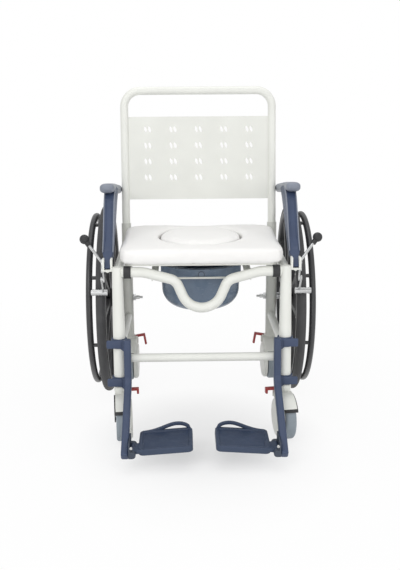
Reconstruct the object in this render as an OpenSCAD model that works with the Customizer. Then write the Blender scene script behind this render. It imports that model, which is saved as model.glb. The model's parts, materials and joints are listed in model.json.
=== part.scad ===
// Shower commode chair: welded side frames, soft seat over a pan, swing-up arms, swing-away foot supports,
// large self-propelling rear wheels and four braked casters.
// Millimetres, +Z up, the front faces -Y, left is -X. The origin is on the floor under the middle of the
// box.

/* [Frame] */
// Distance from the rear axle forward to the foot of the front leg
wheelbase = 400; // [390:1:410]
// Forward rake of the front leg, in degrees
leg_rake = 3; // [1:0.5:5]
// Radius of the front leg below its taper, and of the rear upright
post_r = 17; // [16:0.5:18]
// Radius of the front leg at its top
leg_top_r = 14.6; // [14.4:0.1:16]
// Length of the front leg below its taper
leg_straight = 172; // [168:1:200]
// Radius of the seat rails and the front seat tube
rail_r = 14; // [13:0.5:14]
// Height of the seat rails
rail_z = 476; // [470:1:482]
// Radius of the cross bars and the lower side rails
stay_r = 12; // [10:0.5:13]
// Height of the front cross bar
cross_z = 232; // [222:1:240]
// Height of the lower side rail at the rear upright
lower_rear_z = 240; // [225:1:255]
// Height of the lower side rail at the front leg
lower_front_z = 250; // [242:1:251]

/* [Front seat tube] */
// Bend radius where the tube turns down
u_shoulder_r = 100; // [90:1:105]
// Bend radius at the bottom of the dip
u_bow_r = 58; // [54:1:62]
// Depth of the dip
u_drop = 103; // [98:1:108]
// Turn of each bend, in degrees
u_turn = 67; // [63:0.5:70]
// Slope of its runs between shoulder and knee
u_lean = 15; // [12:0.5:18]
// Length of those runs
u_run = 63; // [56:1:70]
// Bend radius of its knees
u_knee_r = 34; // [28:1:38]

/* [Backrest] */
// Lean of the backrest, in degrees
back_lean = 8; // [5:0.5:10]
// Height where the rear upright starts to lean
bend_z = 440; // [430:1:445]
// Radius of the back socket
back_socket_r = 15; // [14:0.5:16]
// Length of the back socket
back_socket_h = 102; // [95:1:110]
// Depth of the hoop in the back socket
hoop_seat = 60; // [45:1:70]
// Radius of the hoop's tube
hoop_r = 12.5; // [11:0.5:13]
// Length of the hoop's sides above the bend, to the middle of the push bar
hoop_h = 515; // [495:1:530]
// Bend radius of the hoop's corners
hoop_corner_r = 49.5; // [40:0.5:60]
// Start of the panel above the bend
panel_low = 177; // [165:1:185]
// Height of the panel
panel_h = 258; // [240:1:268]
// Thickness of the panel
panel_t = 5; // [3:0.5:7]
// Columns of vents
vent_cols = 5; // [3:1:5]
// Rows of vents
vent_rows = 4; // [2:1:4]
// Distance between vents across the panel
vent_pitch_x = 80; // [60:1:84]
// Distance between vents up the panel
vent_pitch_z = 50; // [40:1:54]
// Height of a vent
vent_h = 21; // [14:1:26]
// Width of one leaf of a vent
vent_leaf_w = 8; // [5:0.5:10]

/* [Seat] */
// Width of the seat
seat_w = 461; // [450:1:470]
// Depth of the seat
seat_d = 400; // [390:1:402]
// Thickness of the soft cushion
cushion_t = 40; // [34:1:48]
// Thickness of the seat board
board_t = 6; // [4:0.5:8]
// How far the seat stands out in front of the front seat tube
seat_front_over = 25; // [20:1:30]
// Width of the plug as a share of the seat's width
plug_w_share = 0.52; // [0.48:0.01:0.54]
// Depth of the plug as a share of the seat's depth
plug_d_share = 0.6875; // [0.63:0.0025:0.71]
// Place of the plug's middle as a share of the seat's depth
plug_set_share = 0.59; // [0.57:0.005:0.6]

/* [Commode pan] */
// Width of the pan's rim
pan_rim_w = 17; // [15:1:25]
// Radius of the pan's bottom
pan_base_r = 62; // [56:1:68]
// Depth of the pan
pan_h = 139; // [130:1:145]
// Wall of the pan
pan_wall = 3; // [2:0.5:4]
// Height of the pan's front apron
pan_apron_h = 27; // [20:1:30]
// Radius of the thumb boss on the apron
pan_boss_r = 9; // [6:0.5:10]
// Radius of the pan rod
pan_rod_r = 3; // [2:0.5:4]

/* [Arms] */
// Width of the arm's front strap
strap_w = 29; // [26:0.5:31]
// Width of the arm's pad
pad_w = 42; // [38:1:46]
// Thickness of the arm at the pad
pad_t = 24; // [20:1:28]
// Thickness of the arm at the strap
strap_t = 15; // [12:0.5:18]
// Height of the arm's pivot above the bend, along the backrest
arm_pivot_h = 210; // [200:1:218]
// Radius of the arm's pivot boss
arm_boss_r = 17; // [14:0.5:19]
// Radius of the arm's pivot bolt
arm_bolt_r = 5; // [4:0.5:6]
// Width of the tongue that drops into the arm socket
tongue_w = 16.5; // [14:0.5:18]
// Depth of the arm socket
socket_h = 30; // [26:1:34]
// Wall of the arm socket
socket_wall = 5; // [4:0.5:6]

/* [Rear wheels] */
// Radius of the rear wheel over its tyre
wheel_r = 300; // [292:1:304]
// Distance of each rear wheel's middle from its frame side
wheel_out = 61; // [57:1:65]
// Radius of the tyre's section
tyre_r = 13.5; // [12:0.5:14.5]
// Half width of the moulded rim
rim_half = 14; // [13:0.5:15]
// Radial depth of the moulded rim
rim_depth = 22; // [18:1:26]
// Number of spokes
spokes = 12; // [12:1:14]
// Radius of the hub
hub_r = 30; // [26:1:34]
// Half length of the hub outside and inside the wheel's plane
hub_half = 23; // [22:0.5:25]
// Radius of the axle
axle_r = 6.35; // [5.5:0.05:7]
// Radius of the hand rim's tube
handrim_r = 9.5; // [8:0.5:10]
// How far the hand rims lie inside the tyres' outer edge
handrim_in = 36; // [34:1:42]
// Distance of the hand rim outside the wheel's middle plane
handrim_out = 35; // [33:0.5:38]
// Number of tabs that carry the hand rim
handrim_tabs = 8; // [6:1:9]

/* [Casters] */
// Radius of the caster wheel
caster_r = 62.5; // [60:0.5:63]
// Width of the caster wheel
caster_w = 30; // [26:1:32]
// Distance of the caster wheel behind its swivel axis
caster_trail = 26; // [22:1:28]
// Rise of each caster's neck above its hood
neck_rise = 6.5; // [5:0.5:8]
// Height of the rear casters above the floor
rear_lift = 30; // [20:1:34]
// Wall of each caster's hood
hood_wall = 4.2; // [3:0.1:5]
// Radius of the hood's cheek
cheek_r = 58; // [50:1:60]
// Radius of the caster's stem
stem_r = 6; // [5:0.5:7]
// Rest turn of each caster, in degrees: front left, front right, rear left, rear right
caster_turns = [5, 8, 0, 2];

/* [Wheel locks] */
// Clearance of the released brake shoe from the tyre
shoe_gap = 3; // [2.5:0.1:4]
// Radius of the brake shoe
shoe_r = 9.5; // [8:0.5:10]
// Width of the brake shoe
shoe_w = 46; // [40:1:48]
// Height angle of the brake shoe in front of the axle, in degrees
shoe_angle = 18; // [15:0.5:20]
// Radius of the lever's rod
lever_r = 4; // [3:0.5:5]
// Radius of the lever's knob
knob_r = 13.5; // [11:0.5:15]

/* [Foot supports] */
// Distance from the rear axle forward to the front of the foot supports
foot_reach = 635; // [630:1:650]
// Width of the hanger bar
hanger_w = 20; // [18:0.5:22]
// Depth of the hanger bar
hanger_d = 24; // [20:1:25]
// Length of the hanger bar beside the leg
hanger_leg_h = 103; // [99:1:107]
// Bend radius of the hanger bar
hanger_bend_r = 40; // [34:1:44]
// Height of the hanger's lower end above the floor
hanger_foot_z = 42; // [38:1:45]
// Height of the leg clips
clip_h = 27; // [22:1:28]
// Width of the footplate
plate_w = 143; // [125:1:148]
// Depth of the footplate
plate_d = 122; // [110:1:125]
// Thickness of the footplate's rim
plate_t = 17; // [14:0.5:18]
// Depth of the tread under the rim
tread_sink = 4; // [2:0.5:6]
// Rise of the heel loop above the rim
heel_h = 20; // [16:1:24]
// Rest tilt of the footplates, in degrees
plate_tilt = 4; // [2:0.5:5]

/* [Hidden] */
$fn = 48;
left = -1;
right = 1;
front = -1;
rear = 1;
tiny = 0.05;
run_gap = 0.35;
cut_over = 1;
white = [0.84, 0.85, 0.82];
shade = [0.80, 0.81, 0.79];
blue = [0.14, 0.18, 0.28];
black = [0.05, 0.05, 0.05];
dark = [0.10, 0.10, 0.11];
steel = [0.65, 0.65, 0.66];
grey = [0.45, 0.49, 0.52];
red = [0.55, 0.08, 0.09];
pan_blue = [0.25, 0.30, 0.37];
soft = [0.92, 0.92, 0.92];

// Casters' heights
yoke_gap = 0.9;
yoke_t = 3.4;
hood_r = caster_r + yoke_gap + yoke_t + hood_wall;
caster_h = caster_r + hood_r + neck_rise;

// Main places
seat_side_clear = 1.5;
side_x = seat_w / 2 + seat_side_clear;
wheel_x = side_x + wheel_out;
handrim_ring_r = wheel_r - handrim_in;
axle_y = (foot_reach - wheel_r) / 2;
axle_z = wheel_r;
leg_foot_y = axle_y - wheelbase;
leg_top_h = (rail_z + leg_top_r - caster_h) / cos(leg_rake);
tube_y = leg_y(rail_z);
bar_y = axle_y + (rail_z - bend_z) * tan(back_lean);
hoop_x = side_x;
function leg_y(z) = leg_foot_y + (z - caster_h) * tan(leg_rake);

// Front seat tube
u_steep = (u_drop - u_bow_r * (1 - cos(u_turn)) - u_knee_r * (cos(u_lean) - cos(u_turn))
    - u_run * sin(u_lean) - u_shoulder_r * (1 - cos(u_lean))) / sin(u_turn);
u_half = u_bow_r * sin(u_turn) + u_steep * cos(u_turn) + u_knee_r * (sin(u_turn) - sin(u_lean))
    + u_run * cos(u_lean) + u_shoulder_r * sin(u_lean);
u_shoulder = [u_half, rail_z];
u_run_from = u_shoulder - u_shoulder_r * [sin(u_lean), 1 - cos(u_lean)];
u_run_to = u_run_from - u_run * [cos(u_lean), sin(u_lean)];
u_steep_from = u_run_to - u_knee_r * [sin(u_turn) - sin(u_lean), cos(u_lean) - cos(u_turn)];
u_steep_to = u_steep_from - u_steep * [cos(u_turn), sin(u_turn)];
// Joints of the tube's right half, each with the slope there
u_joints = [[u_shoulder, 0], [u_run_from, u_lean], [u_run_to, u_lean], [u_steep_from, u_turn],
    [u_steep_to, u_turn]];

// Seat
clip_wall = 3.3;
clip_w = 20;
clip_x = side_x - post_r - clip_w / 2;
seat_z = rail_z + rail_r + clip_wall + run_gap;
cushion_z = seat_z + board_t;
seat_y = tube_y - seat_front_over + seat_d / 2;
plug_w = seat_w * plug_w_share;
plug_d = seat_d * plug_d_share;
plug_y = tube_y - seat_front_over + seat_d * plug_set_share;
plug_gap = 0.6;
board_inset = 22;
plug_ledge = 9;
plug_proud = 2;

// Pan
pan_under = 1;
pan_inside_plug = 0.5;
pan_rim_r = plug_d / 2 - pan_inside_plug;
pan_body_r = pan_rim_r - pan_rim_w;
pan_draft = 4;
pan_z = rail_z - stay_r - pan_under;
pan_lip = 4;
pan_corner_r = pan_body_r - pan_base_r - pan_draft;
ledge_w = 16;
ledge_t = 3;
ledge_clear = 1.2;
ledge_x = pan_rim_r + ledge_clear;
ledge_z = pan_z - pan_lip - run_gap - ledge_t;
rod_ahead = 8;
rod_drop = 14;
rod_tab = 6;
rod_y = plug_y - pan_rim_r - rod_ahead;
rod_z = ledge_z - rod_drop;

// Arms
arm_wall_x = side_x + rail_r + tiny;
arm_x = arm_wall_x + socket_wall + run_gap + tongue_w / 2;
arm_inner_x = arm_x - strap_w / 2;
arm_pivot_y = axle_y + arm_pivot_h * sin(back_lean);
arm_pivot_z = bend_z + arm_pivot_h * cos(back_lean);
arm_end_back = 10;
arm_end_up = 7;
arm_end_y = tube_y + arm_end_back;
arm_end_z = rail_z + arm_end_up;
bolt_head_r = 2 * arm_bolt_r;
bolt_head_h = 4;
socket_half = 12;
socket_base = 4;
socket_x = arm_wall_x + 2 * socket_wall + 2 * run_gap + tongue_w;
arm_steps = 14;
arm_drop = [arm_end_y - arm_pivot_y, arm_end_z - arm_pivot_z];
// Shares of the arm's reach and drop, along its pad and its strap
pad_round_share = 0.45;
pad_shares = [[0, 0], [0.21, -0.09], [0.43, -0.18], [0.64, -0.255]];
strap_shares = [[0.64, -0.255], [0.80, -0.29], [0.72, 0.45], [1, 1]];

// Rear wheels
tyre_ring_r = wheel_r - tyre_r;
tyre_seat_share = 0.66;
seat_ring_r = tyre_ring_r - tyre_r * tyre_seat_share;
hub_out_x = wheel_x + hub_half;
hub_inside = 8;
hub_in_x = wheel_x - hub_half - hub_inside;
spacer_r = 10.7;
axle_head_r = 14;
axle_head_h = 6;
button_r = 5;
button_out = 4.6;
button_h = 6;
button_bore_h = 5.6;
nut_r = 11;
nut_h = 8.4;
tip_r = 4;
tip_h = 10;
tip_out = 20;

// Casters
plate_side_t = 3.6;
cheek_t = 13;
cheek_edge = 5;
well_gap = 2.4;
neck_r = 16.5;
neck_drop = 32;
stem_h = 22;
pedal_w = 14;
pedal_y = -14;
pedal_pin_r = 2.5;
pedal_barrel_r = 4.4;
pedal_pin_x = 24;
pedal_pin_drop = 9;
pedal_pin_z = caster_h - pedal_pin_drop;
pedal_reach = 28;
pedal_t = 6;
// Rear pedals rest released, front ones pressed
pedal_flaps = [16, 16, 36, 36];
pedal_lifts = [0, 0, 10, 10];
ear_t = 2.6;

// Wheel locks
bracket_t = 3;
link_w = 17;
lever_x = socket_x + tiny + bracket_t + run_gap;
arm_link_x = lever_x + bracket_t + run_gap;
shoe_pin_r = 4;
shoe_at = [axle_y - (wheel_r + shoe_gap + shoe_r) * cos(shoe_angle),
           axle_z + (wheel_r + shoe_gap + shoe_r) * sin(shoe_angle)];
shoe_arm = [-40, 48];
lever_set = [-12, 29];
lever_plate = [5, 24];
lever_w = 14;
knob_out = 33;
knob_back = 26;
knob_up = 84;
shoe_pivot = shoe_at + shoe_arm;
lever_pivot = shoe_pivot + lever_set;
lever_top = lever_pivot + lever_plate;
knob_at = [wheel_x + knob_out, lever_pivot[0] + knob_back, lever_pivot[1] + knob_up];
shoe_ribs = 6;
rib_h = 1;

// Foot supports
hanger_in = 24;
hanger_bite = 2;
hanger_off = post_r + hanger_d / 2 - hanger_bite;
hanger_bend_h = 50;
clip_gap = 0.4;
clip_ring = 4.6;
clip_low_h = 14;
clip_wing = 32;
clip_wing_t = 8;
clip_top_gap = 2;
clip_high_h = hanger_bend_h + hanger_leg_h - clip_h - clip_top_gap;
hanger_tip = 7;
hinge_y = axle_y - foot_reach;
hinge_out = 10;
hinge_rise = 7;
hinge_lip = 3;
hinge_relief = 1.6;
hinge_x = side_x - hanger_in - hanger_w / 2 - hinge_out;
hinge_z = hanger_foot_z + hinge_rise;
hinge_len = 74;
hinge_ear = 13;
hinge_r = 9;
hinge_pin_r = 4;
hinge_block_h = 40;
plate_off = 15;
plate_corner_r = 14;
plate_set = 13;
rim_w = 11;
heel_t = 7;
heel_gap_h = 9;
heel_gap_shares = [0.42, 0.92];
heel_end_share = 0.04;

// Shared shapes

// Stands its children at one point, with +Z towards another
module aim(a, b) {
    v = b - a;
    translate(a)
        rotate([0, acos(v[2] / norm(v)), atan2(v[1], v[0])])
            children();
}

module rod(a, b, r) {
    aim(a, b) cylinder(h = norm(b - a), r = r);
}

module along_x(x0, x1, r, y = 0, z = 0) {
    translate([min(x0, x1), y, z])
        rotate([0, 90, 0])
            cylinder(h = abs(x1 - x0), r = r);
}

module along_y(y0, y1, r, x = 0, z = 0) {
    translate([x, max(y0, y1), z])
        rotate([90, 0, 0])
            cylinder(h = abs(y1 - y0), r = r);
}

module box(low, high) {
    translate([min(low[0], high[0]), min(low[1], high[1]), min(low[2], high[2])])
        cube([abs(high[0] - low[0]), abs(high[1] - low[1]), abs(high[2] - low[2])]);
}

// A slab whose outline is drawn in Y and Z, between two places along X
module slab_x(x0, x1) {
    translate([min(x0, x1), 0, 0])
        rotate([90, 0, 90])
            linear_extrude(abs(x1 - x0)) children();
}

// A tube elbow in the plane of X and Z, from one angle through a turn
module elbow(at, bend_r, r, from, turn) {
    translate(at)
        rotate([90, 0, 0])
            rotate([0, 0, from])
                rotate_extrude(angle = turn)
                    translate([bend_r, 0]) circle(r = r);
}

module rounded(w, d, r) {
    translate([r, 0]) square([w - 2 * r, d]);
    translate([0, r]) square([w, d - 2 * r]);
    for (x = [r, w - r], y = [r, d - r]) translate([x, y]) circle(r = r);
}

// A flat link with round eyes at its ends, between two points
link_waist_share = 0.84;

module link(a, b, w) {
    v = b - a;
    waist = w * link_waist_share;
    translate(a) {
        circle(d = w);
        rotate(atan2(v[1], v[0])) translate([0, -waist / 2]) square([norm(v), waist]);
    }
    translate(b) circle(d = w);
}

module on_leg(side) {
    translate([side * side_x, leg_foot_y, caster_h])
        rotate([-leg_rake, 0, 0])
            children();
}

module on_back() {
    translate([0, axle_y, bend_z])
        rotate([-back_lean, 0, 0])
            children();
}

// Frame

leg_cup_wall = 1.5;
leg_cup_r = post_r + leg_cup_wall;
leg_cup_h = 12;

module leg(side, grow = 0) {
    on_leg(side) {
        translate([0, 0, leg_cup_h / 2]) cylinder(h = leg_straight - leg_cup_h / 2, r = post_r + grow);
        translate([0, 0, leg_straight])
            cylinder(h = leg_top_h - leg_straight, r1 = post_r + grow, r2 = leg_top_r + grow);
    }
    translate([side * side_x, leg_foot_y, caster_h]) cylinder(h = leg_cup_h, r = leg_cup_r + grow);
}

module front_legs() {
    color(white)
        for (side = [left, right])
            difference() {
                leg(side);
                translate([side * side_x, leg_foot_y, caster_h - cut_over])
                    cylinder(h = stem_h + 2 * cut_over, r = stem_r + tiny);
            }
}

module upright(side, grow = 0) {
    translate([side * side_x, axle_y, caster_h + rear_lift])
        cylinder(h = bend_z - caster_h - rear_lift, r = post_r + grow);
    translate([side * side_x, axle_y, bend_z]) sphere(r = post_r + grow);
    on_back() translate([side * side_x, 0, 0]) cylinder(h = back_socket_h, r = back_socket_r + grow);
}

module rear_uprights() {
    color(shade)
        for (side = [left, right])
            difference() {
                upright(side);
                on_back()
                    translate([side * hoop_x, 0, back_socket_h - hoop_seat])
                        cylinder(h = hoop_seat + cut_over, r = hoop_r + tiny);
                translate([side * side_x, axle_y, caster_h + rear_lift - cut_over])
                    cylinder(h = stem_h + 2 * cut_over, r = stem_r + tiny);
                along_x(side * (side_x - 2 * post_r), side * (side_x + 2 * post_r), axle_r + tiny, axle_y,
                    axle_z);
            }
}

module seat_rails() {
    color(white)
        for (side = [left, right])
            difference() {
                along_y(tube_y + rail_r + tiny, bar_y, rail_r, side * side_x, rail_z);
                leg(side, tiny);
                upright(side, tiny);
            }
}

module lower_rails() {
    color(white)
        for (side = [left, right])
            difference() {
                rod([side * side_x, leg_y(lower_front_z), lower_front_z],
                    [side * side_x, axle_y, lower_rear_z], stay_r);
                leg(side, tiny);
                upright(side, tiny);
            }
}

// A short collar covers each joint of the bent tube, where its runs stop a little apart
collar_over = 0.2;
collar_half = 1.5;
run_stop = 0.3;

function tube_at(p) = [p[0], tube_y, p[1]];

module tube_straight(a, b, r) {
    stop = (b - a) * run_stop / norm(b - a);
    rod(a + stop, b - stop, r);
}

module tube_bend(at, bend_r, r, from, turn) {
    stop = run_stop / bend_r * 180 / PI;
    elbow(at, bend_r, r, from + stop, turn - 2 * stop);
}

module seat_tube_half(r) {
    knee = u_run_to + u_knee_r * [sin(u_lean), -cos(u_lean)];
    tube_straight(tube_at(u_shoulder), tube_at([side_x, rail_z]), r);
    tube_bend(tube_at(u_shoulder - [0, u_shoulder_r]), u_shoulder_r, r, 90, u_lean);
    tube_straight(tube_at(u_run_from), tube_at(u_run_to), r);
    tube_bend(tube_at(knee), u_knee_r, r, 90 + u_lean, u_turn - u_lean);
    tube_straight(tube_at(u_steep_from), tube_at(u_steep_to), r);
    for (j = u_joints) {
        way = collar_half * [cos(j[1]), 0, sin(j[1])];
        rod(tube_at(j[0]) - way, tube_at(j[0]) + way, r + collar_over);
    }
}

module seat_tube_run(r) {
    seat_tube_half(r);
    mirror([1, 0, 0]) seat_tube_half(r);
    tube_bend(tube_at([0, rail_z - u_drop + u_bow_r]), u_bow_r, r, 270 - u_turn, 2 * u_turn);
}

module front_seat_tube() {
    color(white)
        difference() {
            seat_tube_run(rail_r);
            for (side = [left, right]) leg(side, tiny);
        }
}

module front_cross_bar() {
    color(white)
        difference() {
            along_x(-side_x, side_x, stay_r, leg_y(cross_z), cross_z);
            for (side = [left, right]) leg(side, tiny);
        }
}

module rear_cross_bar() {
    color(white)
        difference() {
            along_x(-side_x, side_x, stay_r, bar_y, rail_z);
            for (side = [left, right]) {
                upright(side, tiny);
                along_y(tube_y, bar_y + rail_r, rail_r + tiny, side * side_x, rail_z);
            }
        }
}

module hoop(grow = 0) {
    on_back() {
        for (side = [left, right]) {
            translate([side * hoop_x, 0, back_socket_h - hoop_seat])
                cylinder(h = hoop_h - hoop_corner_r - back_socket_h + hoop_seat, r = hoop_r + grow);
            elbow([side * (hoop_x - hoop_corner_r), 0, hoop_h - hoop_corner_r], hoop_corner_r,
                hoop_r + grow,
                  side == right ? 0 : 90, 90);
        }
        along_x(-hoop_x + hoop_corner_r, hoop_x - hoop_corner_r, hoop_r + grow, 0, hoop_h);
    }
}

bolt_depth = 14;

module backrest_hoop() {
    color(white)
        difference() {
            hoop();
            for (side = [left, right])
                along_x(side * (hoop_x + hoop_r - bolt_depth), side * (hoop_x + 2 * hoop_r),
                    arm_bolt_r + tiny,
                        arm_pivot_y, arm_pivot_z);
        }
}

leaf_gap_share = 0.82;
vent_shift_share = 0.3;

// Two leaves that lean like the halves of a split disc
module vent() {
    leaf_r = (vent_h * vent_h / 4 + vent_leaf_w * vent_leaf_w / 4) / vent_leaf_w;
    lean = 16;
    for (side = [left, right])
        translate([side * vent_leaf_w * leaf_gap_share, 0])
            rotate(lean)
                intersection() {
                    translate([leaf_r - vent_leaf_w / 2, 0]) circle(r = leaf_r);
                    translate([vent_leaf_w / 2 - leaf_r, 0]) circle(r = leaf_r);
                }
}

panel_wrap = 5;
function vent_z(row) = panel_low + panel_h / 2
    + vent_pitch_z * (row + vent_shift_share - (vent_rows - 1) / 2);

module backrest_panel() {
    color(white)
        difference() {
            on_back()
                translate([0, panel_t / 2, 0])
                    rotate([90, 0, 0])
                        linear_extrude(panel_t)
                            difference() {
                                translate([-hoop_x + hoop_r - panel_wrap, panel_low])
                                    square([2 * (hoop_x - hoop_r + panel_wrap), panel_h]);
                                for (i = [0 : vent_cols - 1], j = [0 : vent_rows - 1])
                                    translate([(i - (vent_cols - 1) / 2) * vent_pitch_x, vent_z(j)])
                                        vent();
                            }
            hoop(tiny);
        }
}

module seat_clips() {
    color(black)
        for (side = [left, right]) {
            difference() {
                along_x(side * (clip_x - clip_w / 2), side * (clip_x + clip_w / 2), rail_r + clip_wall,
                    tube_y, rail_z);
                along_x(side * (clip_x - clip_w), side * (clip_x + clip_w), rail_r + tiny, tube_y, rail_z);
                leg(side, tiny);
            }
            difference() {
                along_x(side * (clip_x - clip_w), side * clip_x, rail_r + clip_wall, bar_y, rail_z);
                along_x(side * (clip_x - 2 * clip_w), side * (clip_x + clip_w), stay_r + tiny, bar_y,
                    rail_z);
            }
        }
}

// Seat

seat_sides = 64;
// Shares of the way from the opening to the seat's edge, and of the cushion's height
cushion_shares = [[0.04, 0], [0.95, 0], [0.982, 0.08], [0.998, 0.26], [1, 0.5], [0.996, 0.72],
    [0.98, 0.89], [0.945, 0.97], [0.86, 0.995], [0.55, 1], [0.25, 0.99], [0.08, 0.97], [0.02, 0.91],
    [0, 0.78]];
seat_round = 11;
seat_draw_share = 0.008;

// Superellipse radius factor, so that the outline is a rounded rectangle with drawn-in sides
function edge_pull(a) = 1 - seat_draw_share * pow(cos(2 * a), 2);
function seat_edge(a) = let (c = abs(cos(a)), s = abs(sin(a)),
    k = pow(pow(c, seat_round) + pow(s, seat_round), -1 / seat_round))
    [cos(a) * k * seat_w / 2 * edge_pull(a), seat_y + sin(a) * k * seat_d / 2 * edge_pull(a)];
function oval(a, grow) = [cos(a) * (plug_w / 2 + grow), plug_y + sin(a) * (plug_d / 2 + grow)];
// The angle on the oval that faces the same way from the plug's middle as a point of the seat's edge
function oval_angle(a) = let (p = seat_edge(a) - [0, plug_y]) atan2(p[1] / plug_d, p[0] / plug_w);
function cushion_point(a, j) = let (s = cushion_shares[j], q = oval(oval_angle(a), plug_gap),
    e = seat_edge(a))
    concat(q + (e - q) * s[0], cushion_z + cushion_t * s[1]);

module seat_cushion() {
    rows = len(cushion_shares);
    color(soft)
        polyhedron(
            points = [for (i = [0 : seat_sides - 1], j = [0 : rows - 1])
                cushion_point(360 * i / seat_sides, j)],
            faces = [for (i = [0 : seat_sides - 1], j = [0 : rows - 1], half = [0, 1])
                let (a = i * rows + j, b = ((i + 1) % seat_sides) * rows + j,
                     c = ((i + 1) % seat_sides) * rows + (j + 1) % rows, d = i * rows + (j + 1) % rows)
                half == 0 ? [a, c, b] : [a, d, c]]);
}

// Shares of the plug's radius and height
plug_shares = [[0.955, 0], [0.99, 0.2], [1, 0.5], [0.99, 0.8], [0.965, 0.94], [0.8, 1], [0.4, 1.02]];

module seat_plug() {
    rows = len(plug_shares);
    sides = seat_sides;
    base = cushion_z + run_gap;
    high = cushion_t + plug_proud - run_gap;
    color(soft)
        polyhedron(
            points = concat(
                [for (j = [0 : rows - 1], i = [0 : sides - 1]) let (q = oval(360 * i / sides, 0))
                    [q[0] * plug_shares[j][0], plug_y + (q[1] - plug_y) * plug_shares[j][0],
                        base + high * plug_shares[j][1]]],
                [[0, plug_y, base], [0, plug_y, base + high * plug_shares[rows - 1][1]]]),
            faces = concat(
                [for (j = [0 : rows - 2], i = [0 : sides - 1], half = [0, 1])
                    let (a = j * sides + i, b = j * sides + (i + 1) % sides, c = b + sides, d = a + sides)
                    half == 0 ? [a, c, b] : [a, d, c]],
                [for (i = [0 : sides - 1]) [rows * sides, i, (i + 1) % sides]],
                [for (i = [0 : sides - 1]) [rows * sides + 1, (rows - 1) * sides + (i + 1) % sides,
                    (rows - 1) * sides + i]]));
}

module seat_board() {
    color(dark)
        translate([0, 0, seat_z])
            linear_extrude(board_t)
                difference() {
                    translate([-seat_w / 2 + board_inset, seat_y - seat_d / 2 + board_inset])
                        rounded(seat_w - 2 * board_inset, seat_d - 2 * board_inset, board_inset);
                    polygon([for (i = [0 : seat_sides - 1]) oval(360 * i / seat_sides, -plug_ledge)]);
                }
}

// Pan

module commode_pan() {
    floor_z = pan_z - pan_h;
    apron_turn = 118;
    apron_t = pan_lip;
    color(pan_blue)
        translate([0, plug_y, 0])
            union() {
                rotate_extrude($fn = 96)
                    difference() {
                        union() {
                            polygon([[0, floor_z], [pan_base_r, floor_z],
                                [pan_base_r, floor_z + pan_corner_r],
                                     [0, floor_z + pan_corner_r]]);
                            translate([pan_base_r, floor_z + pan_corner_r])
                                intersection() {
                                    circle(r = pan_corner_r);
                                    translate([0, -pan_corner_r]) square(pan_corner_r);
                                }
                            polygon([[0, floor_z + pan_corner_r],
                                [pan_base_r + pan_corner_r, floor_z + pan_corner_r],
                                     [pan_body_r, pan_z], [0, pan_z]]);
                            translate([0, pan_z - pan_lip]) square([pan_rim_r, pan_lip]);
                        }
                        polygon([[0, floor_z + pan_wall], [pan_base_r - pan_wall, floor_z + pan_wall],
                                 [pan_base_r - pan_wall, floor_z + pan_corner_r],
                                     [0, floor_z + pan_corner_r]]);
                        translate([pan_base_r - pan_wall, floor_z + pan_corner_r])
                            intersection() {
                                circle(r = pan_corner_r - pan_wall);
                                translate([0, -pan_corner_r]) square(pan_corner_r);
                            }
                        polygon([[0, floor_z + pan_corner_r],
                                 [pan_base_r + pan_corner_r - 2 * pan_wall, floor_z + pan_corner_r],
                                 [pan_body_r - pan_wall, pan_z + cut_over], [0, pan_z + cut_over]]);
                    }
                rotate([0, 0, 270 - apron_turn / 2])
                    rotate_extrude(angle = apron_turn, $fn = 96)
                        translate([pan_rim_r - apron_t - run_gap, pan_z - pan_apron_h])
                            square([apron_t, pan_apron_h - pan_lip / 2]);
                along_y(-pan_rim_r - apron_t / 2, -pan_rim_r + apron_t / 2, pan_boss_r, 0,
                    pan_z - pan_apron_h / 2);
            }
}

module pan_rails() {
    color(white)
        for (side = [left, right])
            difference() {
                union() {
                    box([side * ledge_x, tube_y, ledge_z],
                        [side * (ledge_x - ledge_w), bar_y + stay_r, ledge_z + ledge_t]);
                    box([side * ledge_x, tube_y, ledge_z],
                        [side * (ledge_x + ledge_t), bar_y + stay_r, rail_z - stay_r - tiny]);
                    box([side * ledge_x, rod_y - rod_tab, rod_z - rod_tab],
                        [side * (ledge_x + ledge_t), rod_y + rod_tab, ledge_z + ledge_t]);
                }
                seat_tube_run(rail_r + tiny);
            }
}

module pan_rod() {
    color(white)
        along_x(-ledge_x + tiny, ledge_x - tiny, pan_rod_r, rod_y, rod_z);
}

// Arms

function bezier(p, t) = p[0] * pow(1 - t, 3) + p[1] * 3 * t * pow(1 - t, 2)
    + p[2] * 3 * t * t * (1 - t) + p[3] * pow(t, 3);
function arm_place(s) = [arm_pivot_y + arm_drop[0] * s[0], arm_pivot_z + arm_drop[1] * s[1]];
function arm_line(shares) = [for (i = [0 : arm_steps]) arm_place(bezier(shares, i / arm_steps))];
// Points beside a line, at half a thickness that runs from t0 to t1
function beside(line, t0, t1, way) = [for (i = [0 : len(line) - 1])
    let (v = line[min(i + 1, len(line) - 1)] - line[max(i - 1, 0)], n = [-v[1], v[0]] / norm(v))
    line[i] + n * way * (t0 + (t1 - t0) * i / (len(line) - 1)) / 2];
function backwards(p) = [for (i = [len(p) - 1 : -1 : 0]) p[i]];

module arm_ribbon(shares, t0, t1) {
    line = arm_line(shares);
    polygon(concat(beside(line, t0, t1, 1), backwards(beside(line, t0, t1, -1))));
}

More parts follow.
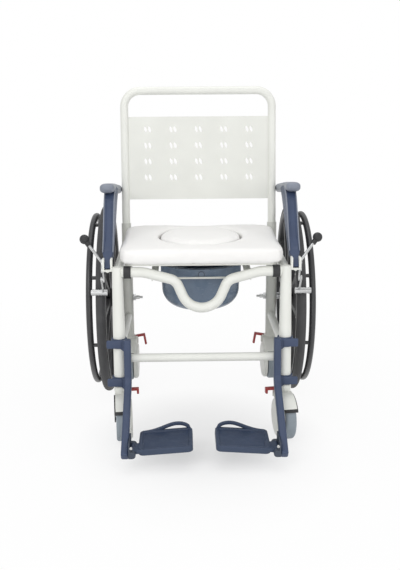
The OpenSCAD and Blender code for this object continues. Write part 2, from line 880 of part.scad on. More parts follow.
module arm(side) {
    inner = side * arm_inner_x;
    tongue_y = arm_end_y;
    shoulder_z = arm_end_z + socket_h;
    pad_from = arm_place(pad_shares[3]);
    nose_r = strap_w;
    color(blue)
        difference() {
            union() {
                slab_x(inner, inner + side * strap_w) {
                    arm_ribbon(pad_shares, pad_t, pad_t);
                    arm_ribbon(strap_shares, pad_t, strap_t);
                }
                intersection() {
                    slab_x(inner, inner + side * pad_w) arm_ribbon(pad_shares, pad_t, pad_t);
                    translate([min(inner, inner + side * pad_w), pad_from[0], 0])
                        linear_extrude(arm_pivot_z * 2)
                            rounded(pad_w, arm_pivot_y + arm_boss_r - pad_from[0], pad_w * pad_round_share);
                }
                along_x(inner, inner + side * strap_w, arm_boss_r, arm_pivot_y, arm_pivot_z);
            }
            along_x(inner - side * cut_over, inner + side * pad_w, arm_bolt_r + tiny, arm_pivot_y,
                arm_pivot_z);
            along_x(inner + side * strap_w, inner + side * (pad_w + cut_over), bolt_head_r + run_gap,
                    arm_pivot_y, arm_pivot_z);
            for (edge = [left, right])
                box([side * arm_x + edge * tongue_w / 2, tongue_y - 4 * socket_h, 0],
                    [side * arm_x + edge * strap_w, tongue_y + 4 * socket_h, shoulder_z]);
            box([inner - side * cut_over, tongue_y - 4 * socket_h, 0],
                [inner + side * (strap_w + cut_over), tongue_y + 4 * socket_h, arm_end_z]);
        }
}

module arm_pivots() {
    color(dark)
        for (side = [left, right])
            union() {
                along_x(side * (hoop_x + hoop_r - bolt_depth), side * (arm_inner_x + strap_w + run_gap),
                    arm_bolt_r,
                        arm_pivot_y, arm_pivot_z);
                along_x(side * (arm_inner_x + strap_w + run_gap),
                    side * (arm_inner_x + strap_w + bolt_head_h),
                        bolt_head_r, arm_pivot_y, arm_pivot_z);
            }
}

module arm_sockets() {
    base_z = arm_end_z - run_gap;
    color(steel)
        for (side = [left, right])
            difference() {
                box([side * arm_wall_x, arm_end_y - socket_half, base_z - socket_base],
                    [side * socket_x, arm_end_y + socket_half, arm_end_z + socket_h - run_gap]);
                box([side * (arm_wall_x + socket_wall), arm_end_y - 2 * socket_half, base_z],
                    [side * (socket_x - socket_wall), arm_end_y + 2 * socket_half,
                        arm_end_z + 2 * socket_h]);
                leg(side, tiny);
            }
}

screw_r = 5;
screw_h = 6;

module socket_screws() {
    color(white)
        for (side = [left, right])
            translate([side * arm_x, arm_end_y, arm_end_z - run_gap - socket_base - screw_h])
                union() {
                    translate([0, 0, screw_r]) cylinder(h = screw_h - screw_r, r = screw_r);
                    translate([0, 0, screw_r])
                        difference() {
                            sphere(r = screw_r);
                            box([-screw_h, -screw_h, 0], [screw_h, screw_h, 2 * screw_h]);
                        }
                }
}

// Rear wheels

module wheel_axles() {
    color(steel)
        for (side = [left, right])
            difference() {
                union() {
                    along_x(side * (side_x - post_r - tip_out), side * (hub_out_x + run_gap), axle_r,
                        axle_y, axle_z);
                    along_x(side * (side_x - post_r - tip_out - tip_h), side * (side_x - post_r - tip_out),
                        tip_r, axle_y, axle_z);
                    along_x(side * (side_x + post_r + tiny), side * (hub_in_x - run_gap), spacer_r, axle_y,
                        axle_z);
                    along_x(side * (hub_out_x + run_gap), side * (hub_out_x + run_gap + axle_head_h),
                        axle_head_r, axle_y, axle_z);
                }
                along_x(side * (hub_out_x + run_gap + axle_head_h - button_bore_h),
                        side * (hub_out_x + run_gap + axle_head_h + cut_over), button_r + tiny, axle_y,
                            axle_z);
            }
}

module axle_nuts() {
    color(steel)
        for (side = [left, right])
            difference() {
                translate([side * (side_x - post_r - tiny - nut_h / 2), axle_y, axle_z])
                    rotate([0, 90, 0])
                        cylinder(h = nut_h, r = nut_r, center = true, $fn = 6);
                along_x(side * (side_x - post_r - 2 * nut_h), side * side_x, axle_r + tiny, axle_y, axle_z);
            }
}

module axle_button(side) {
    button_top = hub_out_x + run_gap + axle_head_h + button_out;
    color(dark)
        along_x(side * (button_top - button_h), side * button_top, button_r, axle_y, axle_z);
}

module on_wheel(side) {
    translate([side * wheel_x, axle_y, axle_z])
        rotate([0, 90, 0])
            children();
}

module tyre(side) {
    color(dark)
        on_wheel(side)
            rotate_extrude($fn = 120)
                difference() {
                    translate([tyre_ring_r, 0]) circle(r = tyre_r);
                    translate([0, -2 * tyre_r]) square([seat_ring_r + tiny, 4 * tyre_r]);
                }
}

rim_chamfer = 4;
spoke_t = 16;
// Shares of a spoke's length and of its width at the hub
spoke_hub_w = 24;
spoke_shares = [[0, 1], [0.45, 0.62], [0.8, 0.7], [0.93, 1.1], [1, 1.9]];

module spoke() {
    run = seat_ring_r - rim_depth + rim_chamfer;
    polygon(concat(
        [for (s = spoke_shares) [run * s[0], spoke_hub_w / 2 * s[1]]],
        [for (i = [len(spoke_shares) - 1 : -1 : 0]) [run * spoke_shares[i][0],
            -spoke_hub_w / 2 * spoke_shares[i][1]]]));
}

module wheel(side) {
    rim_in = seat_ring_r - rim_depth;
    color(black)
        difference() {
            union() {
                on_wheel(side)
                    rotate_extrude($fn = 120)
                        polygon([[rim_in, rim_chamfer - rim_half], [rim_in + rim_chamfer, -rim_half],
                            [seat_ring_r, -rim_half],
                                 [seat_ring_r, rim_half], [rim_in + rim_chamfer, rim_half],
                                     [rim_in, rim_half - rim_chamfer]]);
                on_wheel(side)
                    translate([0, 0, -spoke_t / 2])
                        linear_extrude(spoke_t) {
                            circle(r = hub_r + rim_chamfer);
                            for (i = [0 : spokes - 1]) rotate(360 * i / spokes) spoke();
                        }
                along_x(side * hub_in_x, side * hub_out_x, hub_r, axle_y, axle_z);
            }
            along_x(side * (hub_in_x - cut_over), side * (hub_out_x + cut_over), axle_r + tiny, axle_y,
                axle_z);
        }
}

tab_r = 5.5;
tab_start = 17;

module handrim(side) {
    color(black)
        on_wheel(side)
            union() {
                translate([0, 0, side * handrim_out])
                    rotate_extrude($fn = 120) translate([handrim_ring_r, 0]) circle(r = handrim_r);
                for (i = [0 : handrim_tabs - 1])
                    rotate([0, 0, tab_start + 360 * i / handrim_tabs])
                        translate([handrim_ring_r, 0, side > 0 ? rim_half + tiny : -handrim_out])
                            cylinder(h = handrim_out - rim_half - tiny, r = tab_r);
            }
}

// Casters

caster_sides = [left, right, left, right];
caster_ends = [front, front, rear, rear];

// Places a caster at its swivel axis, turned to lead forward, with its cheek towards the middle of the chair
module on_caster(i) {
    at_front = caster_ends[i] == front;
    translate([caster_sides[i] * side_x, at_front ? leg_foot_y : axle_y, at_front ? 0 : rear_lift])
        rotate([0, 0, caster_turns[i] + 180])
            mirror([caster_sides[i] < 0 ? 1 : 0, 0, 0])
                children();
}

wheel_half = caster_w / 2;
cheek_in = wheel_half + well_gap;
cheek_out = cheek_in + cheek_t;
plate_in = wheel_half + yoke_gap;
well_r = caster_r + yoke_gap + yoke_t + tiny;
hood_rise = 44;
hood_cut_z = caster_r + hood_rise;
arch_rise = 34;
pin_r = 4;

module caster_pin(r) {
    along_x(-plate_in - plate_side_t, cheek_in, r, caster_trail, caster_r);
}

module caster_hood(i) {
    color(white)
        on_caster(i)
            difference() {
                union() {
                    translate([0, 0, caster_h - run_gap - neck_drop]) cylinder(h = neck_drop, r = neck_r);
                    translate([0, 0, caster_h - run_gap - cut_over]) cylinder(h = stem_h, r = stem_r);
                    intersection() {
                        along_x(-plate_in + tiny, cheek_out - cheek_edge, hood_r, caster_trail, caster_r);
                        box([-hood_r, caster_trail - hood_r, hood_cut_z],
                            [hood_r, caster_trail + hood_r, 2 * hood_r]);
                    }
                    translate([cheek_in, caster_trail, caster_r])
                        rotate([0, 90, 0]) {
                            cylinder(h = cheek_t - cheek_edge, r = cheek_r);
                            translate([0, 0, cheek_t - cheek_edge])
                                cylinder(h = cheek_edge, r1 = cheek_r, r2 = cheek_r - cheek_edge);
                        }
                    for (y = [pedal_y - pedal_w / 2 - ear_t - run_gap, pedal_y + pedal_w / 2 + run_gap])
                        box([cheek_in - well_gap, y, hood_cut_z],
                            [pedal_pin_x + pedal_barrel_r, y + ear_t, pedal_pin_z + pedal_barrel_r]);
                    along_y(pedal_y - pedal_w / 2 - ear_t, pedal_y + pedal_w / 2 + ear_t, pedal_pin_r,
                        pedal_pin_x, pedal_pin_z);
                }
                along_x(-2 * plate_in, cheek_in, well_r, caster_trail, caster_r);
            }
    color(white) on_caster(i) caster_pin(pin_r);
}

// The black yoke: an arch over the tyre and one outer arm down to the pin
module caster_yoke(i) {
    arm_w = 20;
    arch_low = caster_r + arch_rise;
    color(black)
        on_caster(i)
            difference() {
                union() {
                    intersection() {
                        difference() {
                            along_x(-plate_in, cheek_in - tiny, well_r - tiny, caster_trail, caster_r);
                            along_x(-2 * plate_in, 2 * cheek_in, caster_r + yoke_gap, caster_trail,
                                caster_r);
                        }
                        box([-hood_r, caster_trail - hood_r, arch_low],
                            [hood_r, caster_trail + hood_r, 2 * hood_r]);
                    }
                    slab_x(-plate_in - plate_side_t, -plate_in) {
                        intersection() {
                            translate([caster_trail, caster_r]) circle(r = well_r - tiny);
                            translate([caster_trail - hood_r, arch_low]) square([2 * hood_r, hood_r]);
                        }
                        translate([caster_trail, caster_r]) circle(d = arm_w);
                        translate([caster_trail - arm_w / 2, caster_r])
                            square([arm_w, arch_low - caster_r]);
                    }
                }
                along_x(-2 * plate_in, 0, pin_r + tiny, caster_trail, caster_r);
            }
}

caster_round = 7;

module caster_wheel(i) {
    hub_dish = 3;
    color(grey)
        on_caster(i)
            translate([0, caster_trail, caster_r])
                rotate([0, 90, 0])
                    rotate_extrude($fn = 72)
                        difference() {
                            union() {
                                translate([0, -wheel_half]) square([caster_r - caster_round, caster_w]);
                                translate([0, caster_round - wheel_half])
                                    square([caster_r, caster_w - 2 * caster_round]);
                                for (way = [-1, 1])
                                    translate([caster_r - caster_round, way * (wheel_half - caster_round)])
                                        circle(r = caster_round);
                            }
                            translate([0, -caster_w]) square([pin_r + tiny, 2 * caster_w]);
                            for (way = [-1, 1])
                                translate([2 * pin_r, way * wheel_half - hub_dish])
                                    square([caster_r - 2 * caster_round - 2 * pin_r, 2 * hub_dish]);
                        }
}

module caster_pedal(i) {
    half_w = pedal_w / 2;
    color(red)
        on_caster(i)
            translate([pedal_pin_x, pedal_y, pedal_pin_z])
                rotate([0, -pedal_lifts[i], 0])
                    difference() {
                        union() {
                            along_y(-half_w, half_w, pedal_barrel_r);
                            box([0, -half_w, 0], [pedal_reach, half_w, pedal_t]);
                            box([pedal_reach - pedal_t, -half_w, pedal_t - pedal_flaps[i]],
                                [pedal_reach, half_w, pedal_t]);
                        }
                        along_y(-pedal_w, pedal_w, pedal_pin_r + tiny);
                    }
}

// Wheel locks

module brake_brackets() {
    plate_x = socket_x + tiny;
    color(steel)
        for (side = [left, right])
            union() {
                slab_x(side * plate_x, side * (plate_x + bracket_t)) {
                    link([arm_end_y, arm_end_z + socket_h / 2], lever_pivot, link_w);
                    link(lever_pivot, shoe_pivot, link_w);
                }
                along_x(side * plate_x, side * (lever_x + bracket_t + run_gap / 2), shoe_pin_r,
                    lever_pivot[0], lever_pivot[1]);
                along_x(side * plate_x, side * (arm_link_x + bracket_t + run_gap), shoe_pin_r,
                    shoe_pivot[0], shoe_pivot[1]);
            }
}

knob_gap = 0.15;
knob_collar = 22;
collar_r = 7.5;

module brake_lever(side) {
    rod_foot = [side * (lever_x + bracket_t / 2), lever_top[0], lever_top[1]];
    rod_head = [side * knob_at[0], knob_at[1], knob_at[2]];
    way = (rod_head - rod_foot) / norm(rod_head - rod_foot);
    color(steel)
        difference() {
            union() {
                slab_x(side * lever_x, side * (lever_x + bracket_t)) link(lever_pivot, lever_top, lever_w);
                rod(rod_foot, rod_head - way * knob_collar / 2, lever_r);
            }
            along_x(side * (lever_x - cut_over), side * (lever_x + bracket_t + cut_over), shoe_pin_r + tiny,
                    lever_pivot[0], lever_pivot[1]);
            box([side * (lever_x - 2 * lever_r), lever_top[0] - link_w, lever_top[1] - link_w],
                [side * lever_x, lever_top[0] + link_w, lever_top[1] + link_w]);
        }
}

module brake_knob(side) {
    rod_foot = [side * (lever_x + bracket_t / 2), lever_top[0], lever_top[1]];
    rod_head = [side * knob_at[0], knob_at[1], knob_at[2]];
    run = norm(rod_head - rod_foot);
    color(black)
        aim(rod_foot, rod_head)
            rotate_extrude()
                difference() {
                    union() {
                        intersection() {
                            translate([0, run]) circle(r = knob_r);
                            square([knob_r, run + knob_r]);
                        }
                        translate([0, run - knob_collar]) square([collar_r, knob_collar]);
                    }
                    square([lever_r + knob_gap, run - knob_collar / 2 + knob_gap]);
                }
}

module brake_shoe(side) {
    rib_w = shoe_w / (2 * shoe_ribs);
    color(grey)
        difference() {
            union() {
                slab_x(side * arm_link_x, side * (arm_link_x + bracket_t))
                    link(shoe_pivot, shoe_at, lever_w);
                along_x(side * (wheel_x - shoe_w / 2), side * (wheel_x + shoe_w / 2), shoe_r - rib_h,
                    shoe_at[0], shoe_at[1]);
                for (k = [0 : shoe_ribs - 1])
                    along_x(side * (wheel_x - shoe_w / 2 + 2 * k * rib_w),
                        side * (wheel_x - shoe_w / 2 + (2 * k + 1) * rib_w),
                            shoe_r, shoe_at[0], shoe_at[1]);
            }
            along_x(side * (arm_link_x - cut_over), side * (arm_link_x + bracket_t + cut_over),
                shoe_pin_r + tiny,
                    shoe_pivot[0], shoe_pivot[1]);
        }
}

// Foot supports

// The middle line of the hanger bar in Y and Z beside the leg: down it, round one bend, and out to the foot
bend_steps = 14;
function ahead(a) = [-sin(a), -cos(a)];
function beside_ahead(a) = [cos(a), -sin(a)];
function in_leg(y, z) = [y * cos(leg_rake) - z * sin(leg_rake), y * sin(leg_rake) + z * cos(leg_rake)];
hanger_top = [-hanger_off, hanger_bend_h + hanger_leg_h];
bend_centre = [-hanger_off - hanger_bend_r, hanger_bend_h];
hanger_foot = in_leg(hinge_y + hanger_tip - leg_foot_y, hanger_foot_z - caster_h);
foot_way = hanger_foot - bend_centre;
slope_len = sqrt(pow(norm(foot_way), 2) - pow(hanger_bend_r, 2));
hanger_turn = atan2(-slope_len, hanger_bend_r) - atan2(foot_way[1], foot_way[0]);
hanger_line = concat(
    [hanger_top],
    [for (k = [0 : bend_steps]) bend_centre + hanger_bend_r * beside_ahead(hanger_turn * k / bend_steps)],
    [hanger_foot]);

module hanger_bar(side) {
    slab_x(-side * (hanger_in + hanger_w / 2), -side * (hanger_in - hanger_w / 2))
        polygon(concat(beside(hanger_line, hanger_d, hanger_d, 1),
            backwards(beside(hanger_line, hanger_d, hanger_d, -1))));
}

module leg_clip(side, h) {
    ring_r = post_r + clip_gap + clip_ring;
    translate([0, 0, h])
        union() {
            cylinder(h = clip_h, r = ring_r);
            box([0, -ring_r, 0], [-side * (hanger_in + hanger_w / 2 - cut_over),
                -hanger_off + hanger_d / 2 - cut_over, clip_h]);
            box([0, -ring_r, 0], [side * clip_wing, clip_wing_t - ring_r, clip_h]);
        }
}

module hanger(side) {
    color(blue)
        on_leg(side)
            difference() {
                union() {
                    hanger_bar(side);
                    leg_clip(side, clip_low_h);
                    leg_clip(side, clip_high_h);
                }
                cylinder(h = 2 * leg_top_h, r = post_r + clip_gap);
            }
}

module foot_hinge(side) {
    block_x = side_x - hanger_in - hanger_w / 2 - tiny;
    color(dark)
        union() {
            difference() {
                union() {
                    box([side * block_x, hinge_y, hinge_z - hinge_r],
                        [side * (hinge_x + hinge_r - hinge_lip), hinge_y + hinge_len,
                            hinge_z + hinge_block_h - hinge_r]);
                    box([side * block_x, hinge_y, hinge_z - hinge_r],
                        [side * hinge_x, hinge_y + hinge_len, hinge_z + hinge_r]);
                    along_y(hinge_y, hinge_y + hinge_len, hinge_r, side * hinge_x, hinge_z);
                }
                along_y(hinge_y + hinge_ear, hinge_y + hinge_len - hinge_ear, hinge_r + 2 * run_gap,
                    side * hinge_x, hinge_z);
                box([side * (hinge_x + hinge_r - hinge_lip + hinge_relief), hinge_y + hinge_ear, hinge_z],
                    [0, hinge_y + hinge_len - hinge_ear, hinge_z + 2 * hinge_block_h]);
            }
            along_y(hinge_y, hinge_y + hinge_len, hinge_pin_r, side * hinge_x, hinge_z);
        }
}

// The footplate lies along +X from its hinge
module footplate_flat() {
    knuckle = hinge_len - 2 * hinge_ear - 2 * run_gap;
    plate_y = plate_set;
    difference() {
        union() {
            translate([plate_off, plate_y, -plate_t / 2]) linear_extrude(plate_t)
                rounded(plate_w, plate_d, plate_corner_r);
            along_y(hinge_ear + run_gap, hinge_ear + run_gap + knuckle, hinge_r - run_gap, 0, 0);
            box([0, hinge_ear + run_gap, -plate_t / 2],
                [plate_off + plate_corner_r, hinge_ear + run_gap + knuckle, plate_t / 2]);
            translate([plate_off, plate_y + plate_d, 0])
                rotate([90, 0, 0])
                    linear_extrude(heel_t) heel_outline();
        }
        translate([plate_off + rim_w, plate_y + rim_w, plate_t / 2 - tread_sink])
            linear_extrude(heel_h) rounded(plate_w - 2 * rim_w, plate_d - rim_w - heel_t,
                plate_corner_r / 2);
        along_y(0, hinge_len, hinge_pin_r + tiny, 0, 0);
    }
}

heel_steps = 24;
// The rise of the heel loop along the plate's rear edge, from the hinge to its free end
function heel_rise(u) = heel_h * pow(sin(180 * pow(u, 2.2)), 0.7);

module heel_outline() {
    difference() {
        polygon(concat(
            [[0, 0]],
            [for (k = [0 : heel_steps]) [plate_w * (heel_end_share + (1 - 2 * heel_end_share) * k /
                heel_steps), plate_t / 2 + heel_rise(k / heel_steps)]],
            [[plate_w, 0]]));
        polygon(concat(
            [for (k = [0 : heel_steps])
                let (u = heel_gap_shares[0] + (heel_gap_shares[1] - heel_gap_shares[0]) * k / heel_steps)
                [plate_w * u, plate_t / 2 + heel_gap_h * sin(180 * k / heel_steps)]]));
    }
}

module footplate(side) {
    color(blue)
        translate([side * hinge_x, hinge_y, hinge_z])
            mirror([side > 0 ? 1 : 0, 0, 0])
                rotate([0, -plate_tilt, 0])
                    footplate_flat();
}

rear_uprights();
seat_rails();
front_legs();
lower_rails();
front_seat_tube();
front_cross_bar();
rear_cross_bar();
backrest_hoop();
backrest_panel();
seat_clips();
arm_sockets();
socket_screws();
wheel_axles();
axle_nuts();
pan_rails();
pan_rod();
brake_brackets();
arm_pivots();
seat_board();
seat_cushion();
seat_plug();
commode_pan();
wheel(left);  // wheel_left
wheel(right);  // wheel_right
tyre(left);  // tyre_left
tyre(right);  // tyre_right
handrim(left);  // handrim_left
handrim(right);  // handrim_right
axle_button(left);  // axle_button_left
axle_button(right);  // axle_button_right
caster_hood(0);  // caster_hood_fl
caster_hood(1);  // caster_hood_fr
caster_hood(2);  // caster_hood_rl
caster_hood(3);  // caster_hood_rr
caster_yoke(0);  // caster_yoke_fl
caster_yoke(1);  // caster_yoke_fr
caster_yoke(2);  // caster_yoke_rl
caster_yoke(3);  // caster_yoke_rr
caster_wheel(0);  // caster_wheel_fl
caster_wheel(1);  // caster_wheel_fr
caster_wheel(2);  // caster_wheel_rl
caster_wheel(3);  // caster_wheel_rr
caster_pedal(0);  // caster_pedal_fl
caster_pedal(1);  // caster_pedal_fr
caster_pedal(2);  // caster_pedal_rl
caster_pedal(3);  // caster_pedal_rr
arm(left);  // arm_left
arm(right);  // arm_right
brake_lever(left);  // brake_lever_left
brake_lever(right);  // brake_lever_right
brake_knob(left);  // brake_knob_left
brake_knob(right);  // brake_knob_right
brake_shoe(left);  // brake_shoe_left
brake_shoe(right);  // brake_shoe_right
hanger(left);  // hanger_left
hanger(right);  // hanger_right
foot_hinge(left);  // foot_hinge_left
foot_hinge(right);  // foot_hinge_right
footplate(left);  // footplate_left
footplate(right);  // footplate_right
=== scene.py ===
"""Shower commode chair: finishes, moulded and soft pieces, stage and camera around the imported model."""

from __future__ import annotations

import json
import logging
import math
from dataclasses import dataclass, field
from enum import Enum
from typing import Any, Callable, Sequence

import bpy
from mathutils import Matrix, Vector

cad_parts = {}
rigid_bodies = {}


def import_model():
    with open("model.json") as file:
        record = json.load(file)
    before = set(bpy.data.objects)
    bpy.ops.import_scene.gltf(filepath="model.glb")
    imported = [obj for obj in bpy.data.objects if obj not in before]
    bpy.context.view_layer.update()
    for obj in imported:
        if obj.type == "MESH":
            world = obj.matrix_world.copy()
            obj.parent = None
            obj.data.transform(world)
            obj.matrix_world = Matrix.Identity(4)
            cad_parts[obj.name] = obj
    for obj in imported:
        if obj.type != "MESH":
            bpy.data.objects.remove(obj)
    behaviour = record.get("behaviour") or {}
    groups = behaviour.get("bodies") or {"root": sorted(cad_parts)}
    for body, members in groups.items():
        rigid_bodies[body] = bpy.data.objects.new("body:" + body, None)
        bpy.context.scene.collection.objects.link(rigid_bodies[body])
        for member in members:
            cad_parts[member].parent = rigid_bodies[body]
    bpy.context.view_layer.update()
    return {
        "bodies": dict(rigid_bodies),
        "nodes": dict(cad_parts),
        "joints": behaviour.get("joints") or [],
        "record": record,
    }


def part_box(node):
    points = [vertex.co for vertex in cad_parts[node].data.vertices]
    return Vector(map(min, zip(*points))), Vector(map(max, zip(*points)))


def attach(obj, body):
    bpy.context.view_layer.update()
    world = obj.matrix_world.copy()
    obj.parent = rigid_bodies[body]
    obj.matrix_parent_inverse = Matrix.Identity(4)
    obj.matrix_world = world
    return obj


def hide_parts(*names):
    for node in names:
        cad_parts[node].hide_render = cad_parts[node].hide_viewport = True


LOG = logging.getLogger("commode_chair")
MERGE = 1e-5
QUARTER = math.pi / 2.0
WHITE = (1.0, 1.0, 1.0)
Colour = tuple[float, float, float]
Point = tuple[float, float, float]
Pair = tuple[float, float]
Sizes = float | Sequence[float]
Piece = bpy.types.Object
Material = bpy.types.Material


def paint(red: int, green: int, blue: int) -> Colour:
    """Turn a display colour into the linear one that shaders use.

    Args:
        red: Red from 0 to 255.
        green: Green from 0 to 255.
        blue: Blue from 0 to 255.

    Returns:
        The linear colour.
    """
    def linear(level: int) -> float:
        """Return one linear channel."""
        share = level / 255.0
        return share / 12.92 if share <= 0.04045 else ((share + 0.055) / 1.055) ** 2.4

    return linear(red), linear(green), linear(blue)


def shade(colour: Colour, share: float) -> Colour:
    """Return a colour with every channel times a share, up to 1."""
    return tuple(min(1.0, channel * share) for channel in colour)


class Value:
    """A shader socket that takes part in Python expressions."""

    def __init__(self, graph: Graph, socket: bpy.types.NodeSocket | None) -> None:
        """Wrap a socket of a graph, or none for a node without outputs."""
        self.graph = graph
        self.socket = socket

    def other(self, output: int | str) -> Value:
        """Return another output of the same node."""
        return Value(self.graph, self.socket.node.outputs[output])

    def _math(self, operation: str, first: Any, second: Any = 0.0) -> Value:
        """Add one Math node over two values."""
        return self.graph.node("ShaderNodeMath", {"operation": operation}, {0: first, 1: second})

    def __add__(self, other: Any) -> Value:
        """Return self + other."""
        return self._math("ADD", self, other)

    __radd__ = __add__

    def __sub__(self, other: Any) -> Value:
        """Return self - other."""
        return self._math("SUBTRACT", self, other)

    def __rsub__(self, other: Any) -> Value:
        """Return other - self."""
        return self._math("SUBTRACT", other, self)

    def __mul__(self, other: Any) -> Value:
        """Return self * other."""
        return self._math("MULTIPLY", self, other)

    __rmul__ = __mul__

    def __pow__(self, other: Any) -> Value:
        """Return self raised to other."""
        return self._math("POWER", self, other)

    def __rpow__(self, other: Any) -> Value:
        """Return other raised to self."""
        return self._math("POWER", other, self)

    def absolute(self) -> Value:
        """Return the size of self without its sign."""
        return self._math("ABSOLUTE", self)

    def sine(self) -> Value:
        """Return the sine of self."""
        return self._math("SINE", self)

    def spread(self, low: float, high: float, to_low: float = 0.0, to_high: float = 1.0) -> Value:
        """Map self from one range to another, clamped.

        Args:
            low: Start of the range that is read.
            high: End of the range that is read.
            to_low: Result at low.
            to_high: Result at high.

        Returns:
            The mapped value.
        """
        return self.graph.node(
            "ShaderNodeMapRange", {"clamp": True},
            {"Value": self, "From Min": low, "From Max": high, "To Min": to_low, "To Max": to_high})


class Graph:
    """The node tree of a material or a world, emptied and built up by calls."""

    def __init__(self, owner: Material | bpy.types.World) -> None:
        """Empty the tree of a material or a world.

        Args:
            owner: The material or the world.
        """
        self.owner = owner
        self.owner.use_nodes = True
        self.tree = owner.node_tree
        self.tree.nodes.clear()

    def feed(self, socket: bpy.types.NodeSocket, given: Any) -> None:
        """Link a value to a socket, or set the socket to it.

        Args:
            socket: The input socket.
            given: A value, a colour, a vector or a number.
        """
        if isinstance(given, Value):
            self.tree.links.new(given.socket, socket)
        elif isinstance(given, tuple) and socket.type == "RGBA":
            socket.default_value = (*given, 1.0)
        else:
            socket.default_value = given

    def node(self, kind: str, settings: dict[str, Any] | None = None,
             inputs: dict[int | str, Any] | None = None, output: int | str = 0) -> Value:
        """Add a node.

        Args:
            kind: The node's type.
            settings: Its properties.
            inputs: Values or links of its sockets.
            output: The output socket to hand back.

        Returns:
            The chosen output.
        """
        made = self.tree.nodes.new(kind)
        for key, setting in (settings or {}).items():
            setattr(made, key, setting)
        for key, given in (inputs or {}).items():
            self.feed(made.inputs[key], given)
        return Value(self, made.outputs[output] if made.outputs else None)

    def place(self) -> Value:
        """Return the piece's own coordinates, in metres."""
        return self.node("ShaderNodeTexCoord", output="Object")

    def axes(self) -> tuple[Value, Value, Value]:
        """Return X, Y and Z of the piece's own coordinates."""
        x = self.node("ShaderNodeSeparateXYZ", None, {0: self.place()})
        return x, x.other(1), x.other(2)

    def noise(self, scale: float, detail: float = 2.0, stretch: Point | None = None) -> Value:
        """Return smooth noise.

        Args:
            scale: Waves per metre.
            detail: Octaves.
            stretch: Factors along X, Y and Z.

        Returns:
            Noise from 0 to 1.
        """
        where = self.place()
        if stretch is not None:
            where = self.node("ShaderNodeMapping", None, {"Vector": where, "Scale": stretch})
        return self.node("ShaderNodeTexNoise", None, {"Vector": where, "Scale": scale, "Detail": detail})

    def cells(self, scale: float, feature: str = "F1") -> Value:
        """Return the distance field of scattered cells."""
        inputs = {"Vector": self.place(), "Scale": scale}
        return self.node("ShaderNodeTexVoronoi", {"feature": feature}, inputs)

    def mix(self, share: Value, first: Any, second: Any) -> Value:
        """Mix two colours.

        Args:
            share: Share of the second colour.
            first: The colour at share 0.
            second: The colour at share 1.

        Returns:
            The mixed colour.
        """
        return self.node("ShaderNodeMix", {"data_type": "RGBA"}, {0: share, 6: first, 7: second}, 2)

    def bump(self, height: Value, depth: float, strength: float) -> Value:
        """Return a normal bent by a height field.

        Args:
            height: The field, from 0 to 1.
            depth: Metres from 0 to 1 of the field.
            strength: Share of the effect.

        Returns:
            The normal.
        """
        return self.node("ShaderNodeBump", None, {"Height": height, "Distance": depth, "Strength": strength})

    def surface(self, **sockets: Any) -> Material:
        """Close the tree with a Principled shader.

        Args:
            **sockets: Socket names with underscores for spaces, and their values or links.

        Returns:
            The finished material.
        """
        inputs = {key.replace("_", " "): given for key, given in sockets.items()}
        return self.close(self.node("ShaderNodeBsdfPrincipled", None, inputs))

    def close(self, shader: Value) -> Material:
        """Send a shader to the material's output and return the material."""
        self.node("ShaderNodeOutputMaterial", None, {"Surface": shader})
        return self.owner


@dataclass(frozen=True)
class Coat:
    """A finish: the name of its material and its main colour."""

    name: str
    colour: Colour

    def graph(self) -> Graph:
        """Return the empty tree of a new material."""
        return Graph(bpy.data.materials.new(self.name))

    def build(self) -> Material:
        """Return the material."""
        raise NotImplementedError


@dataclass(frozen=True)
class PaintedTube(Coat):
    """Powder paint on tube: a fine orange peel, faint dust and slightly rubbed gloss."""

    roughness: float = 0.34
    dust_share: float = 0.955
    dust_scale: float = 9.0
    peel_scale: float = 900.0
    peel_depth: float = 0.00012

    def build(self) -> Material:
        """Return the material.

        Returns:
            The material.
        """
        g = self.graph()
        cloud = g.noise(self.dust_scale, 3.0)
        peel = g.noise(self.peel_scale, 1.0)
        return g.surface(
            Base_Color=g.mix(cloud.spread(0.35, 0.7), self.colour, shade(self.colour, self.dust_share)),
            Roughness=cloud.spread(0.3, 0.75, self.roughness - 0.05, self.roughness + 0.08),
            Normal=g.bump(peel, self.peel_depth, 0.5),
            IOR=1.5, Coat_Weight=0.15, Coat_Roughness=0.25)


@dataclass(frozen=True)
class Moulding(Coat):
    """Moulded plastic: a spark-eroded grain, soft clouds in its colour and scuffed gloss."""

    roughness: float
    grain: float
    depth: float
    cloud: float
    cloud_scale: float = 14.0
    scuff_scale: float = 70.0
    scuff_stretch: Point = (1.0, 1.0, 3.0)

    def build(self) -> Material:
        """Return the material.

        Returns:
            The material.
        """
        g = self.graph()
        cloud = g.noise(self.cloud_scale, 4.0)
        scuff = g.noise(self.scuff_scale, 3.0, self.scuff_stretch)
        grain = g.cells(self.grain)
        low, high = shade(self.colour, 1.0 - self.cloud), shade(self.colour, 1.0 + self.cloud)
        return g.surface(
            Base_Color=g.mix(cloud.spread(0.3, 0.7), low, high),
            Roughness=scuff.spread(0.3, 0.7, self.roughness - 0.07, self.roughness + 0.08),
            Normal=g.bump(grain, self.depth, 0.6), IOR=1.48)


